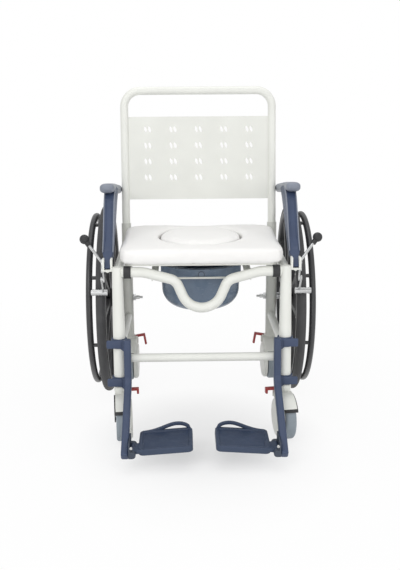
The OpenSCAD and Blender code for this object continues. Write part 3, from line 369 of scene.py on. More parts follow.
@dataclass(frozen=True)
class EdgedWheel(Coat):
    """Moulded wheel plastic with a light band round the rim's edge, beside the tyre."""

    band: Colour
    axle: Pair = (0.1675, 0.300)
    ring: float = 0.2735
    half: float = 0.0028
    fade_share: float = 0.6
    cloud: float = 0.12
    cloud_scale: float = 14.0
    grain: float = 1200.0
    depth: float = 0.00012
    roughness: Pair = (0.41, 0.56)

    def build(self) -> Material:
        """Return the material.

        Returns:
            The material.
        """
        g = self.graph()
        _, y, z = g.axes()
        ahead, above = y - self.axle[0], z - self.axle[1]
        away = ((ahead * ahead + above * above) ** 0.5 - self.ring).absolute()
        cloud = g.noise(self.cloud_scale, 4.0)
        grain = g.cells(self.grain)
        low, high = shade(self.colour, 1.0 - self.cloud), shade(self.colour, 1.0 + self.cloud)
        edge = away.spread(self.half * self.fade_share, self.half, 1.0, 0.0)
        return g.surface(
            Base_Color=g.mix(edge, g.mix(cloud.spread(0.3, 0.7), low, high), self.band),
            Roughness=cloud.spread(0.3, 0.7, *self.roughness),
            Normal=g.bump(grain, self.depth, 0.6), IOR=1.48)


@dataclass(frozen=True)
class Skin(Coat):
    """The seat's moulded foam skin: a fine hide grain over a soft satin."""

    roughness: float = 0.5
    tint_share: float = 0.965
    tint_scale: float = 6.0
    hide_scale: float = 620.0
    hide_share: float = 0.7
    pore_scale: float = 1500.0
    depth: float = 0.00014

    def build(self) -> Material:
        """Return the material.

        Returns:
            The material.
        """
        g = self.graph()
        crease = g.cells(self.hide_scale, "DISTANCE_TO_EDGE").spread(0.0, 0.12)
        pores = g.noise(self.pore_scale, 2.0)
        cloud = g.noise(self.tint_scale, 3.0)
        height = crease * self.hide_share + pores * (1.0 - self.hide_share)
        return g.surface(
            Base_Color=g.mix(cloud.spread(0.35, 0.7), self.colour, shade(self.colour, self.tint_share)),
            Roughness=cloud.spread(0.3, 0.7, self.roughness - 0.04, self.roughness + 0.07),
            Normal=g.bump(height, self.depth, 0.5),
            IOR=1.46, Sheen_Weight=0.05, Sheen_Roughness=0.5)


@dataclass(frozen=True)
class Steel(Coat):
    """Bright zinc plate: drawn lines, faint clouds."""

    roughness: float = 0.3
    tint_share: float = 0.82
    tint_scale: float = 40.0
    line_scale: float = 260.0
    line_stretch: Point = (0.25, 3.0, 1.0)
    depth: float = 0.00006

    def build(self) -> Material:
        """Return the material.

        Returns:
            The material.
        """
        g = self.graph()
        lines = g.noise(self.line_scale, 3.0, self.line_stretch)
        cloud = g.noise(self.tint_scale, 3.0)
        return g.surface(
            Base_Color=g.mix(cloud.spread(0.35, 0.75), self.colour, shade(self.colour, self.tint_share)),
            Roughness=lines.spread(0.3, 0.7, self.roughness - 0.07, self.roughness + 0.1),
            Metallic=1.0, Normal=g.bump(lines, self.depth, 0.4))


@dataclass(frozen=True)
class Rubber(Coat):
    """Rubber: matt, dusty in soft clouds, with moulding lines round its axle where it has a tread."""

    dust: Colour
    roughness: float
    rib_plane: float = 0.0
    ribs: float = 0.0
    rib_depth: float = 0.0006
    dust_scale: float = 24.0
    speck_scale: float = 700.0
    speck_share: float = 0.25
    speck_depth: float = 0.0001

    def build(self) -> Material:
        """Return the material.

        Returns:
            The material.
        """
        g = self.graph()
        cloud = g.noise(self.dust_scale, 4.0)
        height, depth = g.noise(self.speck_scale, 2.0), self.speck_depth
        if self.ribs:
            across = (g.axes()[0].absolute() - self.rib_plane) * self.ribs
            lines = across.sine().spread(-0.4, 0.6, 0.0, 1.0 - self.speck_share)
            height, depth = height * self.speck_share + lines, self.rib_depth
        return g.surface(
            Base_Color=g.mix(cloud.spread(0.4, 0.8, 0.0, 0.5), self.colour, self.dust),
            Roughness=cloud.spread(0.3, 0.7, self.roughness - 0.06, self.roughness + 0.1),
            Normal=g.bump(height, depth, 0.6), IOR=1.45)


class Finish(Enum):
    """The finishes of the chair."""

    WHITE_PAINT = PaintedTube("white_paint", paint(232, 233, 227))
    # The white paint darkened for the rear uprights: painted shade, where the uprights stand in shadow.
    SHADED_PAINT = PaintedTube("upright_paint", paint(214, 215, 208))
    PANEL = Moulding("panel_plastic", paint(228, 229, 223), 0.42, 1100.0, 0.00008, 0.02)
    WHITE_MOULDING = Moulding("hood_plastic", paint(224, 225, 219), 0.4, 1100.0, 0.00006, 0.03)
    BLUE_MOULDING = Moulding("blue_plastic", paint(58, 71, 98), 0.46, 1300.0, 0.00014, 0.08)
    # The blue moulding lightened for the arms: painted light on the pads' lit tops and a painted highlight
    # along the strap flanges.
    PAD_MOULDING = Moulding("pad_plastic", paint(128, 134, 147), 0.36, 1300.0, 0.00010, 0.06)
    TREAD_MOULDING = Moulding("tread_plastic", paint(52, 65, 88), 0.5, 1300.0, 0.00014, 0.08)
    BLACK_MOULDING = Moulding("black_plastic", paint(46, 46, 48), 0.5, 1300.0, 0.00012, 0.12)
    DARK_MOULDING = Moulding("hinge_plastic", paint(60, 68, 82), 0.48, 1300.0, 0.00012, 0.1)
    PAN_MOULDING = Moulding("pan_plastic", paint(106, 122, 142), 0.22, 900.0, 0.00003, 0.06)
    RED_MOULDING = Moulding("pedal_plastic", paint(168, 60, 58), 0.4, 1200.0, 0.00008, 0.1)
    SEAT_SKIN = Skin("seat_skin", paint(243, 242, 240))
    STEEL = Steel("bright_steel", paint(205, 206, 206))
    TYRE = Rubber("tyre_rubber", paint(66, 66, 68), paint(92, 92, 92), 0.62, 0.293, 900.0)
    WHEEL = EdgedWheel("wheel_plastic", paint(42, 42, 44), paint(150, 149, 150))
    HANDRIM = PaintedTube("handrim_coat", paint(58, 58, 60), 0.36)
    CASTER = Rubber("caster_rubber", paint(146, 156, 164), paint(126, 134, 140), 0.55)


# How the names of a finish's nodes start. The first row that fits holds; other nodes have white paint.
FINISH_STARTS: tuple[tuple[Finish, tuple[str, ...]], ...] = (
    (Finish.WHITE_PAINT, ("seat_rails", "arm_sockets")),
    (Finish.SHADED_PAINT, ("rear_uprights",)),
    (Finish.PANEL, ("backrest_panel",)),
    (Finish.BLACK_MOULDING, ("seat_clips", "axle_button", "brake_knob", "arm_pivots", "caster_yoke")),
    (Finish.WHITE_MOULDING, ("socket_screws", "seat_board", "caster_hood")),
    (Finish.STEEL, ("wheel_axles", "axle_nuts", "brake_bracket", "brake_lever", "brake_shoe")),
    (Finish.SEAT_SKIN, ("seat_",)),
    (Finish.PAN_MOULDING, ("commode_pan",)),
    (Finish.WHEEL, ("wheel_",)),
    (Finish.TYRE, ("tyre_",)),
    (Finish.HANDRIM, ("handrim_",)),
    (Finish.CASTER, ("caster_wheel",)),
    (Finish.RED_MOULDING, ("caster_pedal",)),
    (Finish.BLUE_MOULDING, ("arm_", "hanger_")),
    (Finish.TREAD_MOULDING, ("footplate_",)),
    (Finish.DARK_MOULDING, ("foot_hinge_",)),
)


@dataclass
class Wardrobe:
    """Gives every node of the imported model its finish."""

    nodes: dict[str, Piece]
    made: dict[Finish, Material] = field(default_factory=dict)

    @staticmethod
    def finish_of(name: str) -> Finish:
        """Return the finish of a node."""
        fitting = (finish for finish, starts in FINISH_STARTS if name.startswith(starts))
        return next(fitting, Finish.WHITE_PAINT)

    def dress(self, piece: Piece, finish: Finish) -> None:
        """Put a finish on a piece, with its material made on first use.

        Args:
            piece: The piece.
            finish: Its finish.
        """
        if finish not in self.made:
            self.made[finish] = finish.value.build()
        piece.data.materials.clear()
        piece.data.materials.append(self.made[finish])

    def dress_all(self) -> None:
        """Dress every node."""
        for name, piece in self.nodes.items():
            self.dress(piece, self.finish_of(name))


@dataclass
class Station:
    """One cross-section of a swept piece: its middle, its lean about X, its width and its thickness."""

    at: Vector
    lean: float
    width: float
    depth: float


class Part(Enum):
    """The parts of a mesh: the name is their select mode, the value their list in the mesh."""

    VERT = "vertices"
    EDGE = "edges"
    FACE = "polygons"


class Bench:
    """The modelling steps that several pieces share."""

    @staticmethod
    def leave() -> None:
        """Go from edit mode to object mode."""
        bpy.ops.object.mode_set(mode="OBJECT")

    @classmethod
    def clear(cls) -> None:
        """Leave edit mode and deselect everything."""
        if bpy.context.object is not None and bpy.context.object.mode != "OBJECT":
            cls.leave()
        bpy.ops.object.select_all(action="DESELECT")

    @classmethod
    def pick(cls, piece: Piece) -> None:
        """Select one piece and make it active.

        Args:
            piece: The piece.
        """
        cls.clear()
        piece.select_set(True)
        bpy.context.view_layer.objects.active = piece

    @classmethod
    def edit(cls, piece: Piece, part: Part = Part.FACE, whole: bool = False) -> None:
        """Enter edit mode.

        Args:
            piece: The piece.
            part: The parts that are selected.
            whole: Whether everything is selected, or nothing.
        """
        cls.pick(piece)
        bpy.ops.object.mode_set(mode="EDIT")
        bpy.ops.mesh.select_mode(type=part.name)
        bpy.ops.mesh.select_all(action="SELECT" if whole else "DESELECT")

    @classmethod
    def choose(cls, piece: Piece, part: Part, test: Callable[[Any], bool]) -> int:
        """Select parts of a piece in edit mode by a test.

        Args:
            piece: The piece in edit mode.
            part: Which parts.
            test: True for one to select.

        Returns:
            How many were selected.
        """
        cls.leave()
        count = 0
        for item in getattr(piece.data, part.value):
            item.select = test(item)
            count += item.select
        bpy.ops.object.mode_set(mode="EDIT")
        return count

    @staticmethod
    def ends(piece: Piece, edge: bpy.types.MeshEdge) -> list[Vector]:
        """Return both ends of an edge."""
        return [piece.data.vertices[k].co for k in edge.vertices]

    @classmethod
    def close_up(cls) -> None:
        """Turn all faces of the piece in edit mode outwards, and leave it."""
        bpy.ops.mesh.select_all(action="SELECT")
        bpy.ops.mesh.normals_make_consistent(inside=False)
        cls.leave()

    @classmethod
    def copy_of(cls, node: Piece, name: str) -> Piece:
        """Copy a node's mesh into a new merged piece.

        Args:
            node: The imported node.
            name: Name of the copy.

        Returns:
            The copy, at the origin.
        """
        piece = bpy.data.objects.new(name, node.data.copy())
        bpy.context.scene.collection.objects.link(piece)
        cls.edit(piece, Part.VERT, True)
        bpy.ops.mesh.remove_doubles(threshold=MERGE)
        cls.leave()
        piece.data.materials.clear()
        return piece

    @classmethod
    def apply(cls, piece: Piece, kind: str, **settings: Any) -> None:
        """Add a modifier and apply it.

        Args:
            piece: The piece.
            kind: The modifier's type.
            **settings: Its properties.
        """
        cls.pick(piece)
        modifier = piece.modifiers.new(kind.lower(), kind)
        for key, setting in settings.items():
            setattr(modifier, key, setting)
        bpy.ops.object.modifier_apply(modifier=modifier.name)

    @classmethod
    def smooth(cls, piece: Piece, angle: float = 40.0) -> None:
        """Shade a piece smooth below an angle in degrees."""
        cls.pick(piece)
        bpy.ops.object.shade_smooth_by_angle(angle=math.radians(angle))

    @classmethod
    def round_edges(cls, piece: Piece, width: float, segments: int = 3,
                    angle: float = 40.0) -> None:
        """Round the sharp edges of a piece.

        Args:
            piece: The piece.
            width: Width of the rounding.
            segments: Steps across it.
            angle: Edges sharper than this many degrees are rounded.
        """
        cls.apply(piece, "BEVEL", width=width, segments=segments, limit_method="ANGLE",
                  angle_limit=math.radians(angle), harden_normals=False)

    @staticmethod
    def fresh(name: str) -> Piece:
        """Name the primitive that was just added and apply its placing.

        Args:
            name: Name of the piece.

        Returns:
            The piece, at the origin.
        """
        piece = bpy.context.object
        piece.name = name
        bpy.ops.object.transform_apply(location=True, rotation=True, scale=True)
        return piece

    @classmethod
    def section(cls, name: str, station: Station, corner: float, segments: int) -> Piece:
        """Start a piece with a rounded section, and stay in edit mode.

        Args:
            name: Name of the piece.
            station: The section.
            corner: Its corner radius.
            segments: Steps round a corner.

        Returns:
            The flat piece, at the origin.
        """
        cls.clear()
        bpy.ops.mesh.primitive_plane_add(size=1.0, location=station.at, rotation=(station.lean, 0.0, 0.0))
        piece = cls.fresh(name)
        cls.edit(piece, whole=True)
        size = (station.width, station.depth, station.depth)
        bpy.ops.transform.resize(value=size, center_override=station.at)
        bpy.ops.mesh.bevel(offset=corner, segments=segments, affect="VERTICES")
        return piece

    @classmethod
    def sweep(cls, name: str, stations: list[Station], corner: float, segments: int = 4) -> Piece:
        """Extrude a rounded section along stations.

        Args:
            name: Name of the piece.
            stations: The sections in order.
            corner: Corner radius of the first section.
            segments: Steps round a corner.

        Returns:
            The closed piece, at the origin.
        """
        piece = cls.section(name, stations[0], corner, segments)
        for last, here in zip(stations, stations[1:]):
            bpy.ops.mesh.extrude_region_move(TRANSFORM_OT_translate={"value": here.at - last.at})
            grow = here.depth / last.depth
            bpy.ops.transform.resize(value=(here.width / last.width, grow, grow), center_override=here.at)
            bpy.ops.transform.rotate(value=last.lean - here.lean, orient_axis="X", center_override=here.at)
        cls.close_up()
        return piece

    @classmethod
    def ring(cls, name: str, middle: Vector, inner: float, outer: float, height: float) -> Piece:
        """Spin a rounded section about an upright axis.

        Args:
            name: Name of the piece.
            middle: The foot of the axis.
            inner: Inner radius.
            outer: Outer radius.
            height: Height above the foot.

        Returns:
            The ring, at the origin.
        """
        wall = outer - inner
        at = middle + Vector(((inner + outer) / 2.0, 0.0, height / 2.0))
        piece = cls.section(name, Station(at, QUARTER, wall, height), wall * 0.3, 3)
        bpy.ops.mesh.spin(steps=56, angle=4.0 * QUARTER, center=middle, axis=(0.0, 0.0, 1.0),
                          use_auto_merge=True)
        bpy.ops.mesh.select_all(action="SELECT")
        bpy.ops.mesh.remove_doubles(threshold=MERGE)
        bpy.ops.mesh.delete_loose()
        cls.close_up()
        return piece

    @classmethod
    def block(cls, name: str, low: Point, high: Point) -> Piece:
        """Make a box between two corners.

        Args:
            name: Name of the piece.
            low: One corner.
            high: The other corner.

        Returns:
            The box, at the origin.
        """
        cls.clear()
        bpy.ops.mesh.primitive_cube_add(size=1.0)
        piece = cls.fresh(name)
        cls.edit(piece, whole=True)
        span = tuple(abs(b - a) for a, b in zip(low, high))
        bpy.ops.transform.resize(value=span, center_override=(0.0, 0.0, 0.0))
        bpy.ops.transform.translate(value=(Vector(low) + Vector(high)) / 2.0)
        cls.leave()
        return piece

    @classmethod
    def drum(cls, name: str, start: Point, end: Point, radius: float, sides: int) -> Piece:
        """Make a cylinder between two points.

        Args:
            name: Name of the piece.
            start: Middle of one end.
            end: Middle of the other end.
            radius: Its radius.
            sides: Steps round it.

        Returns:
            The cylinder, at the origin.
        """
        cls.clear()
        way = Vector(end) - Vector(start)
        bpy.ops.mesh.primitive_cylinder_add(
            vertices=sides, radius=radius, depth=way.length, location=(Vector(start) + Vector(end)) / 2.0,
            rotation=way.to_track_quat("Z", "Y").to_euler())
        return cls.fresh(name)

    @classmethod
    def place(cls, piece: Piece, turn: Matrix) -> None:
        """Move a piece by a matrix and leave it at the origin.

        Args:
            piece: The piece.
            turn: The matrix.
        """
        cls.pick(piece)
        piece.matrix_world = turn
        bpy.ops.object.transform_apply(location=True, rotation=True, scale=True)
        if turn.determinant() < 0.0:
            cls.edit(piece)
            cls.close_up()

    @classmethod
    def join(cls, name: str, pieces: list[Piece]) -> Piece:
        """Join pieces into the first one, under a new name.

        Args:
            name: The new name.
            pieces: The pieces.

        Returns:
            The joined piece.
        """
        cls.pick(pieces[0])
        for piece in pieces:
            piece.select_set(True)
        bpy.ops.object.join()
        pieces[0].name = name
        return pieces[0]


def across_at(depth_y: float) -> Matrix:
    """Return the turn that lays a line in Y and Z across the chair, at a place along Y."""
    return Matrix.Translation((0.0, depth_y, 0.0)) @ Matrix.Rotation(-QUARTER, 4, "Z")


def even_shares(steps: int) -> list[float]:
    """Return the ends and the inner marks of equal steps from 0 to 1."""
    return [k / steps for k in range(steps + 1)]


def curve_points(ends: Sequence[Pair], shares: list[float]) -> list[Vector]:
    """Return points along a cubic curve.

    Args:
        ends: Its four control points.
        shares: Where the points lie along it, from 0 to 1.

    Returns:
        The points.
    """
    a, b, c, d = (Vector(end) for end in ends)
    points = []
    for t in shares:
        u = 1.0 - t
        points.append(a * u**3 + b * 3.0 * u * u * t + c * 3.0 * u * t * t + d * t**3)
    return points


def unwound(stations: list[Station]) -> list[Station]:
    """Return sections whose leans follow on without a full turn between them.

    Args:
        stations: The sections in order.

    Returns:
        The same sections.
    """
    for last, here in zip(stations, stations[1:]):
        while here.lean - last.lean > math.pi:
            here.lean -= 2.0 * math.pi
        while here.lean - last.lean < -math.pi:
            here.lean += 2.0 * math.pi
    return stations


def stations_between(front: list[Vector], rear: list[Vector], centre_x: float,
                     widths: list[float]) -> list[Station]:
    """Make sections that reach from one line to another in Y and Z.

    Args:
        front: Points of the first line.
        rear: As many points of the second.
        centre_x: Middle of every section in X.
        widths: Width of each section in X.

    Returns:
        The sections.
    """
    made = []
    for ahead, behind, width in zip(front, rear, widths):
        across = behind - ahead
        middle = (ahead + behind) / 2.0
        lean = math.atan2(-across.y, -across.x)
        made.append(Station(Vector((centre_x, middle.x, middle.y)), lean, width, across.length))
    return unwound(made)


def stations_along(line: list[Vector], centre_x: Sizes, widths: Sizes, depths: Sizes) -> list[Station]:
    """Make sections square to a line in Y and Z. A single size holds for every section.

    Args:
        line: Points in Y and Z.
        centre_x: Middle of the sections in X.
        widths: Width of the sections in X.
        depths: Thickness of the sections across the line.

    Returns:
        The sections.
    """
    count = len(line)
    each = ([given] * count if isinstance(given, float) else given for given in (centre_x, widths, depths))
    made = []
    for k, (point, centre, width, depth) in enumerate(zip(line, *each)):
        way = line[min(k + 1, count - 1)] - line[max(k - 1, 0)]
        made.append(Station(Vector((centre, point.x, point.y)), math.atan2(-way.x, way.y), width, depth))
    return unwound(made)


class Side(Enum):
    """The two sides of the chair."""

    LEFT = -1
    RIGHT = 1

    @property
    def word(self) -> str:
        """Return the side's name in node names."""
        return self.name.lower()


@dataclass
class Maker:
    """Builds some pieces of the chair."""

    wardrobe: Wardrobe

    def build(self) -> list[Piece]:
        """Build the pieces and dress them.

        Returns:
            The pieces.
        """
        raise NotImplementedError


@dataclass
class SideMaker(Maker):
    """Builds pieces that the chair has on both sides."""

    side: Side

    def seat(self, at: Point) -> Matrix:
        """Return the move from the origin to a place that is given for the right side."""
        return Matrix.Translation((self.side.value * at[0], at[1], at[2]))


@dataclass
class SwingArm(SideMaker):
    """One moulded arm: a round pad over a deep channelled strap with light flanges, and a tongue. The pad's
    lighter colour is painted light, the flanges' a painted highlight.
    """

    inner_x: float = 0.2453
    middle_x: float = 0.2602
    pivot: Pair = (0.19673, 0.64796)
    reach: Pair = (-0.40162, -0.16496)
    pad_curve_shares: tuple[Pair, ...] = ((-0.035, 0.015), (0.21, -0.09), (0.46, -0.19), (0.69, -0.245))
    pad_width: float = 0.042
    pad_depth: float = 0.027
    pad_corner: float = 0.0105
    pad_round: float = 0.003
    pad_steps: int = 12
    nose: float = 0.016
    nose_from: float = 0.90
    nose_shares: tuple[float, ...] = (0.93, 0.955, 0.975, 0.989, 0.997, 1.0)
    nose_depth_share: float = 0.22
    nose_width_share: float = 0.45
    taper: float = 0.012
    taper_steps: int = 3
    strap_width: float = 0.030
    strap_front: tuple[Pair, ...] = ((-0.001, 0.684), (-0.112, 0.684), (-0.098, 0.581), (-0.2096, 0.4888))
    strap_rear: tuple[Pair, ...] = ((0.078, 0.664), (0.006, 0.642), (-0.074, 0.551), (-0.2002, 0.4772))
    strap_corner: float = 0.003
    strap_round: float = 0.0012
    channel_z: Pair = (0.530, 0.655)
    channel_way: Pair = (-0.88, 0.47)
    channel_rim: float = 0.004
    channel_wall: float = 0.0012
    channel_sink: float = 0.0018
    flange: Pair = (0.0034, 0.0052)
    flange_corner: float = 0.0012
    flange_inset: float = 0.0010
    flange_from: int = 2
    tongue_width: float = 0.0165
    shoulder_z: float = 0.5136
    foot_z: float = 0.4832
    steps: int = 16
    sharp: float = 50.0

    def build(self) -> list[Piece]:
        """Build the pad, the strap and its flanges.

        Returns:
            The pieces.
        """
        # Pad and flanges wear the lightened blue: painted light on the pad, a painted highlight on the
        # flanges.
        looks = ((self._pad(), Finish.PAD_MOULDING), (self._strap(), Finish.BLUE_MOULDING),
                 (self._flanges(), Finish.PAD_MOULDING))
        for piece, finish in looks:
            Bench.smooth(piece, self.sharp)
            self.wardrobe.dress(piece, finish)
            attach(piece, f"arm_{self.side.word}_body")
        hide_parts(f"arm_{self.side.word}")
        return [piece for piece, _ in looks]

    def _pad(self) -> Piece:
        """Model the pad from the pivot to its round nose.

        Returns:
            The pad.
        """
        shares = [share * self.nose_from for share in even_shares(self.pad_steps)] + list(self.nose_shares)
        ends = [(self.pivot[0] + self.reach[0] * a, self.pivot[1] + self.reach[1] * b)
                for a, b in self.pad_curve_shares]
        line = curve_points(ends, shares)
        widths, depths, middles = [], [], []
        for k, point in enumerate(line):
            left = min(self.nose, (line[-1] - point).length) / self.nose
            full = max(self.nose_depth_share, math.sqrt(1.0 - (1.0 - left) ** 2))
            base = self.pad_width - self.taper * max(0.0, 1.0 - k / self.taper_steps)
            depths.append(self.pad_depth * full)
            widths.append(base * (self.nose_width_share + (1.0 - self.nose_width_share) * full))
            middles.append(self.side.value * (self.inner_x + base / 2.0))
        stations = stations_along(line, middles, widths, depths)
        piece = Bench.sweep(f"arm_pad_{self.side.word}", stations, self.pad_corner, 6)
        Bench.round_edges(piece, self.pad_round, 3, self.sharp)
        return piece

    def _edges(self) -> tuple[list[Vector], list[Vector]]:
        """Return points down the strap's front and rear edges."""
        shares = even_shares(self.steps)
        return curve_points(self.strap_front, shares), curve_points(self.strap_rear, shares)

    def _strap(self) -> Piece:
        """Model the strap with its sunk channel and its tongue.

        Returns:
            The strap.
        """
        front, rear = self._edges()
        widths = [self.tongue_width if (a.y + b.y) / 2.0 < self.shoulder_z else self.strap_width
                  for a, b in zip(front, rear)]
        stations = stations_between(front, rear, self.side.value * self.middle_x, widths)
        piece = Bench.sweep(f"arm_strap_{self.side.word}", stations, self.strap_corner)
        self._sink_channel(piece)
        Bench.edit(piece, whole=True)
        bpy.ops.mesh.bisect(plane_co=(0.0, 0.0, self.foot_z), plane_no=(0.0, 0.0, 1.0), use_fill=True,
                            clear_inner=True)
        Bench.leave()
        Bench.round_edges(piece, self.strap_round, 3, self.sharp)
        return piece

    def _sink_channel(self, piece: Piece) -> None:
        """Sink a channel into the strap's front face.

        Args:
            piece: The strap.
        """
        def outer(face: bpy.types.MeshPolygon) -> bool:
            """Tell whether a face lies on the strap's front above its shoulder.

            Args:
                face: The face.

            Returns:
                Whether the channel takes it in.
            """
            across = face.normal.y * self.channel_way[0] + face.normal.z * self.channel_way[1]
            inside = self.channel_z[0] < face.center.z < self.channel_z[1]
            return abs(face.normal.x) < 0.08 and across > 0.55 and inside

        Bench.edit(piece)
        if Bench.choose(piece, Part.FACE, outer):
            bpy.ops.mesh.inset(thickness=self.channel_rim, depth=0.0, use_even_offset=False)
            bpy.ops.mesh.inset(thickness=self.channel_wall, depth=-self.channel_sink, use_even_offset=False)
        Bench.leave()

    def _flanges(self) -> Piece:
        """Sweep a bead down both front edges of the strap.

        Returns:
            Both beads in one piece.
        """
        front, rear = self._edges()
        line = [front[k] for k in range(self.flange_from, len(front))
                if (front[k].y + rear[k].y) / 2.0 > self.shoulder_z]
        beads = []
        for way in (-1.0, 1.0):
            centre = self.side.value * self.middle_x + way * (self.strap_width / 2.0 - self.flange_inset)
            stations = stations_along(line, centre, *self.flange)
            beads.append(Bench.sweep("bead", stations, self.flange_corner, 3))
        return Bench.join(f"arm_flanges_{self.side.word}", beads)


@dataclass
class FootHanger(SideMaker):
    """One moulded hanger: a rounded bar down the leg, forward and down, held by two winged clips."""

    leg: Point = (0.232, -0.2325, 0.140)
    rake: float = 3.0
    inboard: float = 0.024
    width: float = 0.020
    depth: float = 0.024
    corner: float = 0.0055
    end_round: float = 0.004
    off: float = 0.027
    bend_at: float = 0.050
    top_at: float = 0.153
    bend_radius: float = 0.040
    foot: Pair = (-0.4605, 0.042)
    clip_at: Pair = (0.014, 0.124)
    clip_height: float = 0.027
    clip_inner: float = 0.0174
    clip_outer: float = 0.0220
    web_from: float = 0.006
    web_short: float = 0.003
    web_proud: float = 0.002
    web_sink: float = 0.0005
    web_round: float = 0.002
    wing_reach: float = 0.034
    wing_from: float = 0.008
    wing_proud: float = 0.003
    wing_trim: float = 0.002
    wing_corner: float = 0.004
    wing_round: float = 0.0018
    gusset_from: float = 0.002
    gusset_drop: float = 0.015
    gusset_rise: float = 0.004
    gusset_edge: float = 0.002
    gusset_round: float = 0.0012
    clear: float = 0.001
    steps: int = 10

    def build(self) -> list[Piece]:
        """Build the hanger.

        Returns:
            The piece.
        """
        pieces = [self._bar()]
        for foot in self.clip_at:
            pieces += self._clip(foot)
        piece = Bench.join(f"foot_hanger_{self.side.word}", pieces)
        Bench.place(piece, self.seat(self.leg) @ Matrix.Rotation(-math.radians(self.rake), 4, "X"))
        Bench.smooth(piece, 45.0)
        self.wardrobe.dress(piece, Finish.BLUE_MOULDING)
        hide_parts(f"hanger_{self.side.word}")
        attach(piece, f"hanger_{self.side.word}_body")
        return [piece]

    def _line(self) -> list[Vector]:
        """Return the bar's middle line beside the leg, in the leg's Y and Z.

        Returns:
            Points from its top to its foot.
        """
        cosine, sine = math.cos(math.radians(self.rake)), math.sin(math.radians(self.rake))
        out, rise = self.foot[0] - self.leg[1], self.foot[1] - self.leg[2]
        foot = Vector((out * cosine - rise * sine, out * sine + rise * cosine))
        centre = Vector((-self.off - self.bend_radius, self.bend_at))
        way = foot - centre
        run = math.sqrt(way.length_squared - self.bend_radius**2)
        turn = math.atan2(-run, self.bend_radius) - math.atan2(way.y, way.x)
        line = [Vector((-self.off, self.top_at)), Vector((-self.off, (self.top_at + self.bend_at) / 2.0))]
        for k in range(self.steps + 1):
            angle = turn * k / self.steps
            line.append(centre + Vector((math.cos(angle), -math.sin(angle))) * self.bend_radius)
        return line + [(line[-1] + foot) / 2.0, foot]

    def _bar(self) -> Piece:
        """Sweep the bar, closed by rounded ends.

        Returns:
            The bar.
        """
        stations = stations_along(self._line(), -self.side.value * self.inboard, self.width, self.depth)
        piece = Bench.sweep("bar", stations, self.corner, 5)
        Bench.round_edges(piece, self.end_round, 4, 60.0)
        return piece

    def _clip(self, foot: float) -> list[Piece]:
        """Model one clip: its ring, the web to the bar, the wing in front of the leg and the gusset.

        Args:
            foot: Height of the clip's foot up the leg.

        Returns:
            The pieces of the clip.
        """
        way, top = -self.side.value, foot + self.clip_height
        middle = Vector((0.0, 0.0, foot))
        ring = Bench.ring("ring", middle, self.clip_inner, self.clip_outer, self.clip_height)
        web_to = self.inboard + self.width / 2.0 - self.web_short
        web = Bench.block("web", (way * self.web_from, -self.clip_outer - self.web_proud, foot + self.clear),
                          (way * web_to, -self.clip_inner + self.web_sink, top - self.clear))
        Bench.round_edges(web, self.web_round)
        wing = Bench.block(
            "wing", (-way * self.wing_reach, -self.clip_outer - self.wing_proud, foot + self.wing_trim),
            (way * self.wing_from, -self.clip_inner - self.clear, top - self.wing_trim))
        self._round_wing(wing, -way)
        return [ring, web, wing, self._gusset(foot)]

    def _gusset(self, foot: float) -> Piece:
        """Model the gusset that slants from a clip's foot down to the bar.

        Args:
            foot: Height of the clip's foot up the leg.

        Returns:
            The gusset.
        """
        start, end = -self.side.value * self.gusset_from, -self.side.value * self.inboard
        piece = Bench.block("gusset", (start, -self.clip_outer - self.clear, foot - self.gusset_drop),
                            (end, -self.clip_inner - self.clear, foot + self.gusset_rise))
        Bench.edit(piece, Part.VERT)
        Bench.choose(piece, Part.VERT,
                     lambda vertex: abs(vertex.co.x - start) < 1e-6 and vertex.co.z < foot - self.clear)
        bpy.ops.transform.translate(value=(0.0, 0.0, self.gusset_drop + self.gusset_edge))
        Bench.leave()
        Bench.round_edges(piece, self.gusset_round)
        return piece

    def _round_wing(self, wing: Piece, way: int) -> None:
        """Round the wing's free end and soften its edges.

        Args:
            wing: The wing.
            way: Where its free end lies: -1 or 1 along X.
        """
        far = max(vertex.co.x * way for vertex in wing.data.vertices)

        def at_end(edge: bpy.types.MeshEdge) -> bool:
            """Tell whether an edge runs through the wing's thickness at its free end."""
            first, last = Bench.ends(wing, edge)
            return min(first.x * way, last.x * way) > far - 1e-5 and abs(first.y - last.y) > 1e-4

        Bench.edit(wing, Part.EDGE)
        Bench.choose(wing, Part.EDGE, at_end)
        bpy.ops.mesh.bevel(offset=self.wing_corner, segments=5, affect="EDGES")
        Bench.leave()
        Bench.round_edges(wing, self.wing_round)


@dataclass
class HingeBolt(SideMaker):
    """The small bright bolt on the front of a foot hinge."""

    at: Point = (0.1905, -0.4675, 0.0705)
    radius: float = 0.0040
    proud: float = 0.0018
    sunk: float = 0.002
    edge: float = 0.0006

    def build(self) -> list[Piece]:
        """Build the bolt.

        Returns:
            The piece.
        """
        middle = self.seat(self.at).translation
        piece = Bench.drum(f"hinge_bolt_{self.side.word}", middle + Vector((0.0, self.sunk, 0.0)),
                           middle - Vector((0.0, self.proud, 0.0)), self.radius, 24)
        Bench.round_edges(piece, self.edge, 2)
        Bench.smooth(piece)
        self.wardrobe.dress(piece, Finish.STEEL)
        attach(piece, f"hanger_{self.side.word}_body")
        return [piece]


@dataclass
class BossLine(Maker):
    """The fine dark ring round the thumb boss on the pan's apron: painted shade that stands in for the groove
    there.
    """

    at: Point = (0.0, -0.1429, 0.4495)
    radius: float = 0.0086
    groove: float = 0.0008

    def build(self) -> list[Piece]:
        """Build the groove.

        Returns:
            The piece.
        """
        Bench.clear()
        bpy.ops.mesh.primitive_torus_add(
            major_radius=self.radius, minor_radius=self.groove, major_segments=48, minor_segments=8,
            rotation=(QUARTER, 0.0, 0.0), location=self.at)
        piece = Bench.fresh("pan_boss_line")
        Bench.smooth(piece, 60.0)
        # The dark colour of this ring is painted shade of the groove round the boss.
        self.wardrobe.dress(piece, Finish.DARK_MOULDING)
        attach(piece, "pan_body")
        return [piece]


